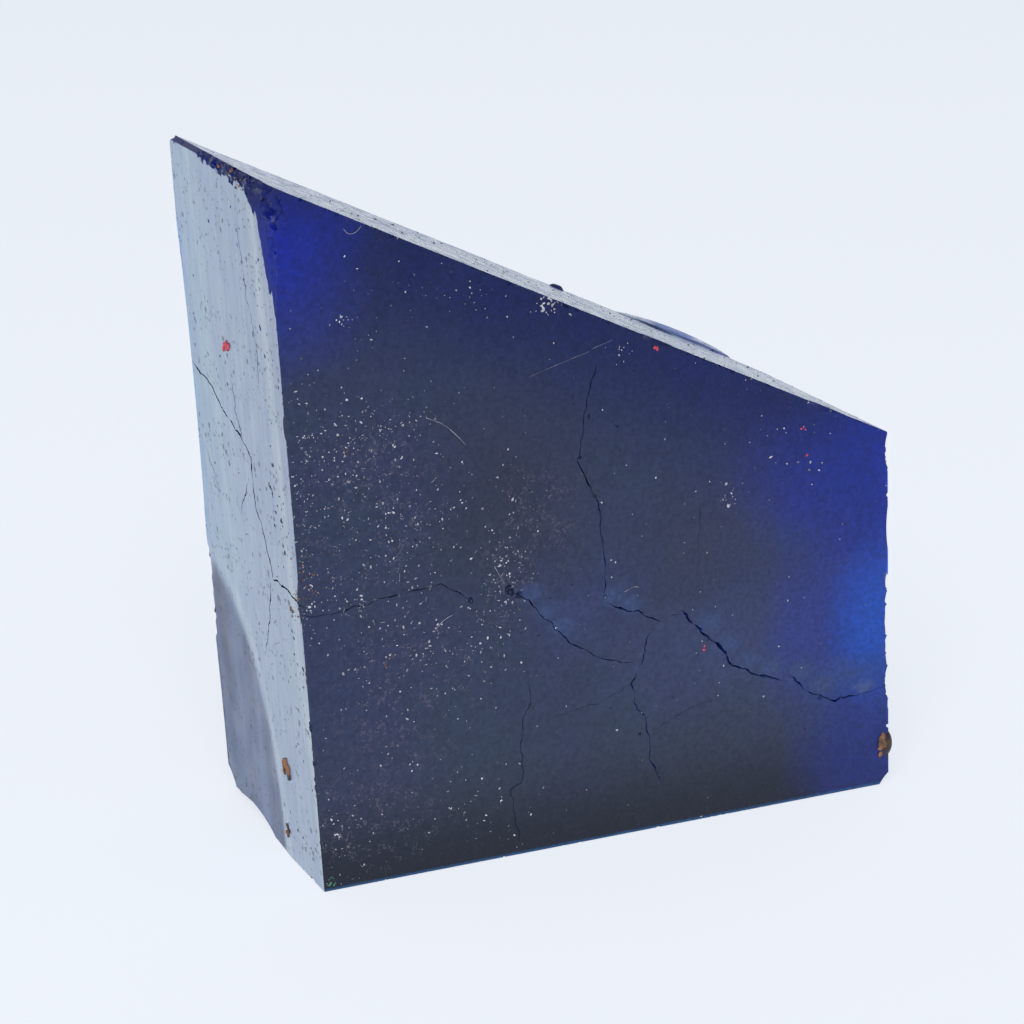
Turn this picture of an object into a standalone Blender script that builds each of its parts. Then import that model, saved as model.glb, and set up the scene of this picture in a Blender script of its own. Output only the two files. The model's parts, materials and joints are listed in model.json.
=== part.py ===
"""Rough tanzanite: a slab of dark blue zoisite, sawn flat on five sides and broken behind.

The stone is one solid. A block is sawn face by face, its corners are knocked off, and then the
broken shells, chips, pits and cracks are cut. A lip and two small lumps are left standing proud.

Frame: metres, +Z up, origin under the middle of the stone on the surface that it stands on.
+X runs along the foot to the stone's low end, and +Y runs into its depth, away from the broad
front face.
"""

import math
import random

import bmesh
import bpy
from mathutils import Matrix, Vector

MM = 0.001

# Driving dimensions of the slab.
HEIGHT = 56.0 * MM  # the tall end
LOW_HEIGHT = 30.8 * MM  # the low end
FOOT_LENGTH = 51.2 * MM
FOOT_DEPTH = 22.7 * MM
CREST_DEPTH = 21.1 * MM  # the back leans in, so the crest is thinner than the foot
TALL_END_LEAN = 3.45 * MM  # how far the tall end's tip overhangs the foot
LOW_END_LEAN = 1.45 * MM  # how far the low end leans in
LOW_END_SKEW = 2.05 * MM  # how much shorter the stone is along its back
TIP_BAND = 0.45 * MM  # how deep the tip's edge is knocked off
FOOT_BAND = 0.4 * MM  # how deep the back edge of the foot is knocked off
WORN_EDGE = 0.15 * MM
RIM = 0.3 * MM  # heights are written from the front rim of the foot, this far above the ground

# The origin stands under the middle of the stone's own box.
MIDDLE_LENGTH = 23.9 * MM
MIDDLE_DEPTH = 11.35 * MM

# Places are written (along the foot, into the depth, up), in mm from the tall end's front foot corner.
# Broken shells and chips: (name, place, the faces it faces, half length, half height, depth, turn).
SHELLS = (
    ("tall_end_shell", (0.0, 21.6, 0.0), ("tall_end",), 14.7, 23.0, 0.5, 0.0),
    ("back_shell_high", (7.0, 21.6, 31.5), ("back",), 21.0, 18.5, 1.1, 12.0),
    ("back_shell_low", (34.0, 22.4, 9.0), ("back",), 19.0, 13.5, 1.6, -8.0),
    ("back_shell_low_end", (45.0, 22.0, 24.0), ("back",), 9.5, 9.0, 1.3, 20.0),
    ("low_end_shell", (50.0, 13.0, 15.0), ("low_end",), 9.0, 13.0, 0.8, 10.0),
    ("ledge_shell", (46.2, 0.0, 14.2), ("front",), 7.2, 6.3, 0.34, 0.0),
    ("long_ledge_shell", (38.6, 0.0, 17.9), ("front",), 10.5, 5.6, 0.26, -31.0),
    ("crest_shell", (13.0, 21.2, 48.2), ("crest", "back"), 6.5, 2.4, 0.5, 0.0),
    ("heel_shell", (-0.1, 17.8, 0.0), ("tall_end", "foot"), 6.8, 2.2, 0.8, 0.0),
    ("heel_corner", (0.0, 22.6, 0.0), ("tall_end", "foot", "back"), 3.2, 3.2, 1.5, 0.0),
    ("back_heel", (27.0, 22.7, 0.0), ("foot", "back"), 13.0, 2.0, 0.8, 0.0),
    ("tip_corner", (-3.4, 21.1, 55.7), ("tall_end", "crest", "back"), 1.6, 1.6, 0.35, 0.0),
    ("tip_chip", (-3.4, 0.0, 54.6), ("tall_end", "front"), 1.3, 2.9, 0.45, 0.0),
    ("low_tip_corner", (47.6, 20.0, 31.8), ("low_end", "crest", "back"), 3.4, 3.4, 0.9, 0.0),
    ("toe_corner", (51.2, 0.0, 0.0), ("low_end", "front", "foot"), 1.8, 1.8, 0.5, 0.0),
    ("toe_notch", (50.7, 0.0, 8.9), ("low_end", "front"), 0.9, 1.5, 0.3, 0.0),
    ("low_edge_chip", (50.2, 0.0, 22.6), ("low_end", "front"), 0.8, 2.4, 0.2, 0.0),
    ("low_edge_top_chip", (49.8, 0.0, 29.2), ("low_end", "front"), 0.8, 1.6, 0.22, 0.0),
    ("tall_edge_chip", (-1.45, 0.0, 23.8), ("tall_end", "front"), 0.9, 1.8, 0.28, 0.0),
    ("tall_edge_high_chip", (-2.3, 0.0, 37.6), ("tall_end", "front"), 0.8, 1.0, 0.25, 0.0),
    ("crest_edge_chip", (28.4, 0.0, 40.8), ("crest", "front"), 1.6, 0.8, 0.25, 0.0),
    ("crest_edge_low_chip", (43.6, 0.0, 33.6), ("crest", "front"), 1.9, 0.8, 0.22, 0.0),
)
# A shell is the cap of a ball that is this many times as thick as the shell is deep.
SHELL_THICKNESS = 3.0

# Lumps: (name, place, half sizes in mm, lean about the depth axis in degrees).
LUMPS = (
    ("crest_lip", (40.9, 20.6, 34.4), (7.1, 2.6, 1.05), 25.5),
    ("crest_nub", (29.4, 19.9, 40.25), (0.75, 0.7, 0.5), 25.5),
    ("rust_lump", (50.85, 0.45, 3.3), (0.7, 0.7, 1.2), 0.0),
)
LIP_INSET = 0.05 * MM  # the lip ends this far inside the back face

# Cracks in the front face, as (along, up) in mm, and the half width of each groove.
FRONT_CRACKS = {
    "long_crack": (0.24, ((23.2, 20.7), (26.2, 19.0), (28.7, 17.8), (31.1, 17.9), (33.3, 15.7),
                          (35.5, 13.1), (37.9, 11.7), (41.0, 11.3), (43.5, 8.9), (47.9, 8.1), (51.5, 8.9))),
    "upright_crack": (0.15, ((24.4, 41.4), (22.8, 38.0), (21.7, 31.9), (23.6, 28.0), (24.2, 22.6),
                             (23.5, 20.9))),
    "level_crack": (0.14, ((-2.5, 22.7), (3.4, 22.8), (10.1, 23.6), (12.7, 21.9), (15.3, 22.5), (17.2, 21.4),
                           (19.9, 18.4), (23.3, 15.6), (27.4, 14.3))),
    "low_crack": (0.13, ((28.7, 17.5), (27.6, 14.3), (26.7, 12.7), (28.0, 9.2), (28.4, 6.0), (29.6, 3.3))),
    "foot_crack": (0.12, ((17.5, 14.8), (17.7, 12.6), (16.9, 8.7), (17.0, 5.9), (16.0, 5.4), (16.7, 1.2))),
}

# Cracks in the tall end's face, as (into the depth, up) in mm.
TALL_END_CRACKS = {
    "end_crack": (0.15, ((21.5, 38.0), (16.6, 36.8), (12.1, 34.7), (8.4, 32.9), (8.2, 29.0), (5.7, 24.2),
                         (2.4, 24.1), (-0.6, 23.5))),
    "end_branch": (0.13, ((5.7, 24.0), (7.1, 20.6), (9.3, 16.4))),
}

# Pits, a few to each face: (face, how many).
PITS = (("tall_end", 9), ("crest", 7), ("back", 12), ("front", 6))
PIT_RADIUS = (0.28 * MM, 0.5 * MM)
PIT_STRETCH = (0.7, 1.3)
PIT_FLATNESS = 0.8
PIT_LIFT = 0.45  # how far a pit's middle stands out of its face, in radii
PIT_MARGIN = 2.5 * MM
PIT_SEED = 11

# How many rings each ball is made of.
SHELL_RINGS = 22
LUMP_RINGS = 14
PIT_RINGS = 6

STONE_BLUE = (0.022, 0.030, 0.085, 1.0)
STONE_ROUGHNESS = 0.38
ZOISITE_IOR = 1.69


def at(along, deep, high):
    """A point measured from the tall end's front foot corner, in the stone's own frame."""
    return Vector((along - MIDDLE_LENGTH, deep - MIDDLE_DEPTH, high + RIM))


def clear_scene():
    for obj in list(bpy.data.objects):
        bpy.data.objects.remove(obj)


def new_collection(name):
    collection = bpy.data.collections.new(name)
    bpy.context.scene.collection.children.link(collection)
    return collection


def normal_through(a, b, c):
    return (b - a).cross(c - a).normalized()


def sawn_faces():
    """Each flat face as a point on it and its outward normal."""
    foot_left = at(0, 0, 0)
    foot_right = at(FOOT_LENGTH, 0, 0)
    crest_left = at(-TALL_END_LEAN, 0, HEIGHT)
    crest_right = at(FOOT_LENGTH - LOW_END_LEAN, 0, LOW_HEIGHT)
    crest_back_right = crest_right + Vector((-LOW_END_SKEW, CREST_DEPTH, LOW_END_SKEW / 2))
    back_foot = at(0, FOOT_DEPTH, 0)
    back_crest = at(0, CREST_DEPTH, HEIGHT)
    into = Vector((0, 1, 0))
    along = Vector((1, 0, 0))
    return {
        "front": (foot_left, -into),
        "back": (back_foot, normal_through(back_foot, back_crest, back_foot + along)),
        "tall_end": (foot_left, normal_through(foot_left, crest_left, foot_left + into)),
        "low_end": (foot_right, normal_through(crest_right, foot_right, crest_back_right)),
        "crest": (crest_left, normal_through(crest_left, crest_right, crest_right + into)),
        "foot": (foot_left - Vector((0, 0, RIM)), Vector((0, 0, -1))),
    }


def knocked_edges(faces):
    """Narrow facets knocked off two edges, again as a point and a normal."""
    tip_normal = (faces["tall_end"][1] + faces["crest"][1]).normalized()
    foot_normal = (faces["back"][1] + faces["foot"][1]).normalized()
    tip = at(-TALL_END_LEAN, 0, HEIGHT)
    back_foot = at(0, FOOT_DEPTH, 0)
    return {
        "tip_band": (tip - TIP_BAND * tip_normal, tip_normal),
        "foot_band": (back_foot - FOOT_BAND * foot_normal, foot_normal),
    }


def saw(block, point, outward):
    """Takes off what lies outside one plane and closes the cut."""
    geometry = block.verts[:] + block.edges[:] + block.faces[:]
    cut = bmesh.ops.bisect_plane(
        block, geom=geometry, plane_co=point, plane_no=outward, clear_outer=True
    )
    rim = [part for part in cut["geom_cut"] if isinstance(part, bmesh.types.BMEdge)]
    bmesh.ops.contextual_create(block, geom=rim)


def sawn_block(name, cuts, collection):
    """A block larger than the stone, sawn down by each plane in turn."""
    block = bmesh.new()
    size = 3 * HEIGHT
    bmesh.ops.create_cube(block, size=size, matrix=Matrix.Translation((0, 0, HEIGHT / 2)))
    for point, outward in cuts:
        saw(block, point, outward)
    bmesh.ops.recalc_face_normals(block, faces=block.faces[:])
    mesh = bpy.data.meshes.new(name)
    block.to_mesh(mesh)
    block.free()
    stone = bpy.data.objects.new(name, mesh)
    collection.objects.link(stone)
    worn = stone.modifiers.new("worn edges", "BEVEL")
    worn.width = WORN_EDGE
    worn.segments = 2
    worn.limit_method = "ANGLE"
    worn.angle_limit = math.radians(20)
    return stone


def as_helper(obj):
    obj.hide_render = True
    obj.display_type = "WIRE"
    return obj


def facing_frame(faces, names):
    """Axes on a face, or on the edge or corner where faces meet: X along it, Y up it and Z out."""
    out = sum((faces[name][1] for name in names), Vector()).normalized()
    level = Vector((0, 0, 1)).cross(out).normalized()
    if "crest" in names:
        level = (Vector((1, 0, 0)) - out.x * out).normalized()
    up = out.cross(level)
    return Matrix((level, up, out)).transposed().to_4x4()


def ellipsoid(name, place, half_sizes, turn, collection, rings):
    """A stretched ball: turn is a 4x4 rotation and half_sizes are in metres."""
    ball = bmesh.new()
    bmesh.ops.create_uvsphere(ball, u_segments=2 * rings, v_segments=rings, radius=1.0)
    bmesh.ops.transform(ball, matrix=Matrix.Diagonal((*half_sizes, 1.0)), verts=ball.verts[:])
    bmesh.ops.transform(ball, matrix=Matrix.Translation(place) @ turn, verts=ball.verts[:])
    mesh = bpy.data.meshes.new(name)
    ball.to_mesh(mesh)
    ball.free()
    obj = bpy.data.objects.new(name, mesh)
    collection.objects.link(obj)
    return as_helper(obj)


def shell_cutters(faces, collection):
    """Shallow scoops. Each is the cap of a flattened ball, sunk to the scoop's depth."""
    rise = SHELL_THICKNESS - 1
    widening = 1 / math.sqrt(1 - (rise / SHELL_THICKNESS) ** 2)
    for name, place, names, half_length, half_height, depth, turn in SHELLS:
        frame = facing_frame(faces, names)
        middle = at(*(value * MM for value in place)) + rise * depth * MM * frame.col[2].to_3d()
        half_sizes = (half_length * widening * MM, half_height * widening * MM, SHELL_THICKNESS * depth * MM)
        turned = frame @ Matrix.Rotation(math.radians(turn), 4, "Z")
        ellipsoid(name, middle, half_sizes, turned, collection, SHELL_RINGS)


def lumps(faces, collection):
    """Small swellings that the saw and the breaks left standing. None stands out past the back."""
    back_point, back_out = faces["back"]
    for name, place, half_sizes, lean in LUMPS:
        turn = Matrix.Rotation(math.radians(lean), 4, "Y")
        sizes = [value * MM for value in half_sizes]
        middle = at(*(value * MM for value in place))
        lump = ellipsoid(name, middle, sizes, turn, collection, LUMP_RINGS)
        form = bmesh.new()
        form.from_mesh(lump.data)
        if (middle - back_point).dot(back_out) + max(sizes) > 0:
            saw(form, back_point - LIP_INSET * back_out, back_out)
        form.to_mesh(lump.data)
        form.free()


def groove(name, points, half_width, collection):
    """A four sided tube along a crack. Half of it is sunk in the face, so it cuts a V."""
    line = bpy.data.curves.new(name, "CURVE")
    line.dimensions = "3D"
    line.bevel_depth = half_width
    line.bevel_resolution = 0
    line.use_fill_caps = True
    spline = line.splines.new("POLY")
    spline.points.add(len(points) - 1)
    for point, place in zip(spline.points, points):
        point.co = (*place, 1.0)
    guide = bpy.data.objects.new(name + "_line", line)
    bpy.context.scene.collection.objects.link(guide)
    bpy.context.view_layer.update()
    graph = bpy.context.evaluated_depsgraph_get()
    mesh = bpy.data.meshes.new_from_object(guide.evaluated_get(graph))
    bpy.data.objects.remove(guide)
    tube = bmesh.new()
    tube.from_mesh(mesh)
    bmesh.ops.remove_doubles(tube, verts=tube.verts[:], dist=0.001 * MM)
    bmesh.ops.recalc_face_normals(tube, faces=tube.faces[:])
    tube.to_mesh(mesh)
    tube.free()
    obj = bpy.data.objects.new(name, mesh)
    collection.objects.link(obj)
    as_helper(obj)


def end_lean_at(high):
    """How far the tall end's face has moved out at this height."""
    return -TALL_END_LEAN * high / HEIGHT


def crack_cutters(collection):
    for name, (half_width, route) in FRONT_CRACKS.items():
        points = [at(along * MM, 0, up * MM) for along, up in route]
        groove(name, points, half_width * MM, collection)
    for name, (half_width, route) in TALL_END_CRACKS.items():
        points = [at(end_lean_at(up * MM), deep * MM, up * MM) for deep, up in route]
        groove(name, points, half_width * MM, collection)


def spot_near(face, rng):
    """A random spot near a face and clear of its edges, to be dropped onto it. The tall end's are high up."""
    deep = rng.uniform(PIT_MARGIN, CREST_DEPTH - 2 * PIT_MARGIN)
    along = rng.uniform(PIT_MARGIN, FOOT_LENGTH - 2 * PIT_MARGIN)
    crest_height = HEIGHT - (HEIGHT - LOW_HEIGHT) * along / FOOT_LENGTH
    up = rng.uniform(PIT_MARGIN, crest_height - 2 * PIT_MARGIN)
    if face == "tall_end":
        return at(0, deep, rng.uniform(HEIGHT / 2, HEIGHT - 2 * PIT_MARGIN))
    if face == "crest":
        return at(along, deep, crest_height)
    return at(along, 0 if face == "front" else FOOT_DEPTH, up)


def pit_cutters(faces, collection):
    """Small round pits, each a ball sunk to about half its radius."""
    rng = random.Random(PIT_SEED)
    for face, count in PITS:
        point, outward = faces[face]
        turn = facing_frame(faces, (face,))
        for number in range(count):
            spot = spot_near(face, rng)
            spot -= (spot - point).dot(outward) * outward
            radius = rng.uniform(*PIT_RADIUS)
            half_sizes = (radius, radius * rng.uniform(*PIT_STRETCH), radius * PIT_FLATNESS)
            middle = spot + PIT_LIFT * radius * outward
            ellipsoid(f"{face}_pit_{number}", middle, half_sizes, turn, collection, PIT_RINGS)


def join_and_cut(stone, collection, operation):
    step = stone.modifiers.new(collection.name, "BOOLEAN")
    step.operation = operation
    step.operand_type = "COLLECTION"
    step.collection = collection
    step.solver = "EXACT"


def stone_material():
    material = bpy.data.materials.new("tanzanite")
    material.use_nodes = True
    shader = material.node_tree.nodes["Principled BSDF"]
    shader.inputs["Base Color"].default_value = STONE_BLUE
    shader.inputs["Roughness"].default_value = STONE_ROUGHNESS
    shader.inputs["Metallic"].default_value = 0.0
    shader.inputs["IOR"].default_value = ZOISITE_IOR
    return material


def main():
    clear_scene()
    stone_collection = new_collection("rough_tanzanite")
    faces = sawn_faces()
    cuts = [*faces.values(), *knocked_edges(faces).values()]
    stone = sawn_block("tanzanite", cuts, stone_collection)
    stone.data.materials.append(stone_material())

    swellings = new_collection("swellings")
    lumps(faces, swellings)
    join_and_cut(stone, swellings, "UNION")

    broken = new_collection("broken_shells")
    shell_cutters(faces, broken)
    join_and_cut(stone, broken, "DIFFERENCE")

    fine_cuts = new_collection("cracks_and_pits")
    crack_cutters(fine_cuts)
    pit_cutters(faces, fine_cuts)
    join_and_cut(stone, fine_cuts, "DIFFERENCE")


main()
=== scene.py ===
# %% [markdown]
# # Rough tanzanite, a sawn slab with a broken back
# Rough gemstone is often sold as it leaves the saw: a block with flat, ground faces on the sides
# that were cut, a shell-like break where it was split, and cracks, chips, dust and rust all over.
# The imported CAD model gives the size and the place. This lesson makes the fine stone around it:
# the block is sawn again with the same planes, its skin is divided into a fine net, saw waves are
# pressed into that skin, and cracks, pits and bites are cut out of it.

# %% Load the frame
import json
import math
import random
from contextlib import contextmanager

import bmesh
import bpy
from mathutils import Matrix, Vector, noise

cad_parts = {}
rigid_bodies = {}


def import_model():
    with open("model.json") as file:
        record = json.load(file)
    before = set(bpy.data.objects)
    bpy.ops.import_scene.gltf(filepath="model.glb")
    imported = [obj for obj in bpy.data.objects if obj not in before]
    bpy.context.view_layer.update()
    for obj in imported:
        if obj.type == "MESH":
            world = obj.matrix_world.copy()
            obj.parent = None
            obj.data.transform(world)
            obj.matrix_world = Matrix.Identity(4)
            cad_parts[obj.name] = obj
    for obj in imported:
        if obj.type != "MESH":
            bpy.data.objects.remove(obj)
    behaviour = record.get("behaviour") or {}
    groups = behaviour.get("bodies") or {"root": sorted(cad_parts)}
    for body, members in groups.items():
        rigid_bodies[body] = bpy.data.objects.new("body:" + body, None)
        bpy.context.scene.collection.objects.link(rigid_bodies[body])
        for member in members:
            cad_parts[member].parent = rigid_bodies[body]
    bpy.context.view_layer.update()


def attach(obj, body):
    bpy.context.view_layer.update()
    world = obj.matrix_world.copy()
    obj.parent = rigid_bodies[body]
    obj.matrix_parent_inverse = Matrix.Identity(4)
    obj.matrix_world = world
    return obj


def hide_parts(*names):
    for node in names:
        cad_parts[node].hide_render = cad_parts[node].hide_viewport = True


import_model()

# %% [markdown]
# ## The slab's measures
# All places on the stone are written as a stone cutter would measure them: along the foot from the
# tall end, into the depth from the front face, and up from the front rim of the foot, in
# millimetres. One function turns such a place into the frame's metres.

# %% Measures of the slab, in millimetres
MM = 0.001
HEIGHT = 56.0
LOW_HEIGHT = 30.8
FOOT_LENGTH = 51.2
FOOT_DEPTH = 22.7
CREST_DEPTH = 21.1
TALL_END_LEAN = 3.45
LOW_END_LEAN = 1.45
LOW_END_SKEW = 2.05
# how deep the tip's and the heel's edge are knocked off, and how wide all edges are worn
TIP_BAND = 0.45
FOOT_BAND = 0.4
WORN_EDGE = 0.10
WORN_FROM_ANGLE = 20
# how far the foot lies below the front rim, and the place of the frame's origin
RIM = 0.3
MIDDLE_LENGTH = 23.9
MIDDLE_DEPTH = 11.35


def at(along, deep, high):
    """A place on the stone, from millimetres to the frame's metres."""
    return Vector((along - MIDDLE_LENGTH, deep - MIDDLE_DEPTH, high + RIM)) * MM


def normal_through(a, b, c):
    return (b - a).cross(c - a).normalized()


def flat_faces():
    """Each flat face as a point on it and its outward normal."""
    foot_left = at(0, 0, 0)
    foot_right = at(FOOT_LENGTH, 0, 0)
    tip = at(-TALL_END_LEAN, 0, HEIGHT)
    low_tip = at(FOOT_LENGTH - LOW_END_LEAN, 0, LOW_HEIGHT)
    low_tip_back = low_tip + Vector((-LOW_END_SKEW, CREST_DEPTH, LOW_END_SKEW / 2)) * MM
    back_foot = at(0, FOOT_DEPTH, 0)
    back_crest = at(0, CREST_DEPTH, HEIGHT)
    into = Vector((0, 1, 0))
    along = Vector((1, 0, 0))
    return {
        "front": (foot_left, -into),
        "back": (back_foot, normal_through(back_foot, back_crest, back_foot + along)),
        "tall_end": (foot_left, normal_through(foot_left, tip, foot_left + into)),
        "low_end": (foot_right, normal_through(low_tip, foot_right, low_tip_back)),
        "crest": (tip, normal_through(tip, low_tip, low_tip + into)),
        "foot": (at(0, 0, -RIM), Vector((0, 0, -1))),
    }


FACES = flat_faces()
print("sawn faces:", ", ".join(FACES))

# %% [markdown]
# ## Sawing the block
# The real block was cut face by face on a diamond saw. The same can be done in edit mode: a cube
# larger than the stone is bisected by each plane in turn, and the cut is filled. That gives true
# flat faces that meet in crisp edges, which box modelling by eye would not.

# %% A cube, sawn by eight planes
def only(piece):
    """Makes one piece the selected and active object."""
    bpy.ops.object.select_all(action="DESELECT")
    piece.select_set(True)
    bpy.context.view_layer.objects.active = piece


@contextmanager
def edit_mode(piece):
    """Opens one piece in edit mode with all of it selected, and leaves the mode afterwards."""
    only(piece)
    bpy.ops.object.mode_set(mode="EDIT")
    bpy.ops.mesh.select_all(action="SELECT")
    yield
    bpy.ops.object.mode_set(mode="OBJECT")


def saw(point, outward):
    """Cuts the whole mesh in edit mode and closes the cut."""
    bpy.ops.mesh.select_all(action="SELECT")
    bpy.ops.mesh.bisect(plane_co=point, plane_no=outward, use_fill=True, clear_outer=True)


def settle(piece):
    """Puts a piece's place into its mesh, so that its object sits at the origin."""
    only(piece)
    bpy.ops.object.transform_apply(location=True, rotation=True, scale=True)


bpy.ops.object.select_all(action="DESELECT")
bpy.ops.mesh.primitive_cube_add(size=3 * HEIGHT * MM, location=(0, 0, HEIGHT * MM / 2))
stone = bpy.context.active_object
stone.name = "stone"
settle(stone)

tip_normal = (FACES["tall_end"][1] + FACES["crest"][1]).normalized()
heel_normal = (FACES["back"][1] + FACES["foot"][1]).normalized()
knocked_edges = (
    (at(-TALL_END_LEAN, 0, HEIGHT) - TIP_BAND * MM * tip_normal, tip_normal),
    (at(0, FOOT_DEPTH, 0) - FOOT_BAND * MM * heel_normal, heel_normal),
)
with edit_mode(stone):
    for point, outward in (*FACES.values(), *knocked_edges):
        saw(point, outward)
    bpy.ops.mesh.select_all(action="SELECT")
    bpy.ops.mesh.normals_make_consistent(inside=False)
print("sawn block:", len(stone.data.polygons), "faces")


# %% Wear its edges a little
def apply_all_modifiers(piece):
    only(piece)
    for step in list(piece.modifiers):
        bpy.ops.object.modifier_apply(modifier=step.name)


worn = stone.modifiers.new("worn edges", "BEVEL")
worn.width = WORN_EDGE * MM
worn.segments = 2
worn.limit_method = "ANGLE"
worn.angle_limit = math.radians(WORN_FROM_ANGLE)
apply_all_modifiers(stone)
print("worn block:", len(stone.data.polygons), "faces")

# %% [markdown]
# ## Breaks, chips and what was left standing
# Tanzanite breaks like glass, in shallow shells with curved floors. A shell could be sculpted, but
# a cut with a flattened ball gives the same clean hollow and the same sharp rim. The ball is sunk
# only a little into the face, or across an edge or a corner, so that just its cap cuts. A thin lip
# where the crest's saw cut snapped off, and two small knobs, are balls joined on in the same way.

# %% Shells and chips: name, place, what they face, half length, half height, depth, turn in degrees
SHELLS = (
    ("tall_end_shell", (0, 21.6, 0), ("tall_end",), 14.7, 23, 0.5, 0),
    ("back_shell_high", (7, 21.6, 31.5), ("back",), 21, 18.5, 1.1, 12),
    ("back_shell_low", (34, 22.4, 9), ("back",), 19, 13.5, 1.6, -8),
    ("back_shell_low_end", (45, 22, 24), ("back",), 9.5, 9, 1.3, 20),
    ("low_end_shell", (50, 13, 15), ("low_end",), 9, 13, 0.8, 10),
    ("ledge_shell", (46.2, 0, 14.2), ("front",), 7.2, 6.3, 0.34, 0),
    ("long_ledge_shell", (38.6, 0, 17.9), ("front",), 10.5, 5.6, 0.26, -31),
    ("crest_shell", (13, 21.2, 48.2), ("crest", "back"), 6.5, 2.4, 0.5, 0),
    ("heel_shell", (-0.1, 17.8, 0), ("tall_end", "foot"), 6.8, 2.2, 0.8, 0),
    ("heel_corner", (0, 22.6, 0), ("tall_end", "foot", "back"), 3.2, 3.2, 1.5, 0),
    ("back_heel", (27, 22.7, 0), ("foot", "back"), 13, 2, 0.8, 0),
    ("tip_corner", (-3.4, 21.1, 55.7), ("tall_end", "crest", "back"), 1.6, 1.6, 0.35, 0),
    ("tip_chip", (-3.4, 0, 54.6), ("tall_end", "front"), 1.3, 2.9, 0.45, 0),
    ("low_tip_corner", (47.6, 20, 31.8), ("low_end", "crest", "back"), 3.4, 3.4, 0.9, 0),
    ("toe_corner", (51.2, 0, 0), ("low_end", "front", "foot"), 1.8, 1.8, 0.5, 0),
    ("toe_notch", (50.7, 0, 8.9), ("low_end", "front"), 0.9, 1.5, 0.3, 0),
    ("low_edge_chip", (50.2, 0, 22.6), ("low_end", "front"), 0.8, 2.4, 0.2, 0),
    ("low_edge_top_chip", (49.8, 0, 29.2), ("low_end", "front"), 0.8, 1.6, 0.22, 0),
    ("tall_edge_chip", (-1.45, 0, 23.8), ("tall_end", "front"), 0.9, 1.8, 0.28, 0),
    ("tall_edge_high_chip", (-2.3, 0, 37.6), ("tall_end", "front"), 0.8, 1, 0.25, 0),
    ("crest_edge_chip", (28.4, 0, 40.8), ("crest", "front"), 1.6, 0.8, 0.25, 0),
    ("crest_edge_low_chip", (43.6, 0, 33.6), ("crest", "front"), 1.9, 0.8, 0.22, 0),
)
# lumps left standing: name, middle, half sizes, lean in degrees
LUMPS = (
    ("crest_lip", (40.9, 20.6, 34.4), (7.1, 2.6, 1.05), 25.5),
    ("crest_nub", (29.4, 19.9, 40.25), (0.75, 0.7, 0.5), 25.5),
    ("rust_lump", (50.85, 0.45, 3.3), (0.7, 0.7, 1.2), 0),
)
print(len(SHELLS), "shells and chips,", len(LUMPS), "lumps")


# %% Closed balls, and one Boolean that cuts or joins a whole group of them
def facing_frame(names):
    """Axes on a face, or on the edge or corner where faces meet: X along it, Y up it and Z out."""
    out = sum((FACES[name][1] for name in names), Vector()).normalized()
    level = Vector((0, 0, 1)).cross(out).normalized()
    if "crest" in names:
        level = (Vector((1, 0, 0)) - out.x * out).normalized()
    return Matrix((level, out.cross(level), out)).transposed().to_4x4()


# a ball with a half size above this many millimetres gets more faces
LARGE_BALL = 8.0
BALL_FACES = {"large": (64, 32), "small": (36, 18)}


def new_group(name):
    group = bpy.data.collections.new(name)
    bpy.context.scene.collection.children.link(group)
    return group


def move_to(piece, group):
    """Takes an object out of its collections and puts it into a group."""
    for holder in list(piece.users_collection):
        holder.objects.unlink(piece)
    group.objects.link(piece)


def ball(name, middle, half_sizes, turn, group):
    """A stretched and turned ball in a group of its own kind; a large one has more faces."""
    bpy.ops.object.select_all(action="DESELECT")
    segments, rings = BALL_FACES["large" if max(half_sizes) > LARGE_BALL * MM else "small"]
    bpy.ops.mesh.primitive_uv_sphere_add(segments=segments, ring_count=rings, radius=1.0)
    made = bpy.context.active_object
    made.name = name
    made.matrix_world = Matrix.Translation(middle) @ turn @ Matrix.Diagonal((*half_sizes, 1.0))
    settle(made)
    move_to(made, group)
    return made


def cut_or_join(piece, group, operation):
    """One Boolean with a whole group of closed shapes, which are thrown away afterwards."""
    step = piece.modifiers.new(group.name, "BOOLEAN")
    step.operation = operation
    step.operand_type = "COLLECTION"
    step.collection = group
    step.solver = "MANIFOLD"
    apply_all_modifiers(piece)
    for helper in list(group.objects):
        bpy.data.objects.remove(helper)
    bpy.data.collections.remove(group)


for kind, (segments, rings) in BALL_FACES.items():
    print("a", kind, "ball has", segments * rings, "faces")


# %% Join the lumps, trimmed where they would reach past the back
LIP_INSET = 0.05

standing = new_group("left standing")
back_point, back_out = FACES["back"]
for name, place, half_sizes, lean in LUMPS:
    turn = Matrix.Rotation(math.radians(lean), 4, "Y")
    lump = ball(name, at(*place), [size * MM for size in half_sizes], turn, standing)
    if (at(*place) - back_point).dot(back_out) + max(half_sizes) * MM > 0:
        with edit_mode(lump):
            saw(back_point - LIP_INSET * MM * back_out, back_out)
cut_or_join(stone, standing, "UNION")
print("block with lumps:", len(stone.data.polygons), "faces")

# %% Cut the shells: a flat ball is sunk in until its rim has the wanted size and its cap the depth
SHELL_THICKNESS = 3.0
RISE = SHELL_THICKNESS - 1
WIDENING = 1 / math.sqrt(1 - (RISE / SHELL_THICKNESS) ** 2)


def sunk_in(place, names, half_length, half_height, depth):
    """Axes, middle and half sizes of a flat ball of which only a cap lies below the skin."""
    axes = facing_frame(names)
    middle = at(*place) + RISE * depth * MM * axes.col[2].to_3d()
    reach = (half_length * WIDENING, half_height * WIDENING, SHELL_THICKNESS * depth)
    return axes, middle, [value * MM for value in reach]


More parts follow.
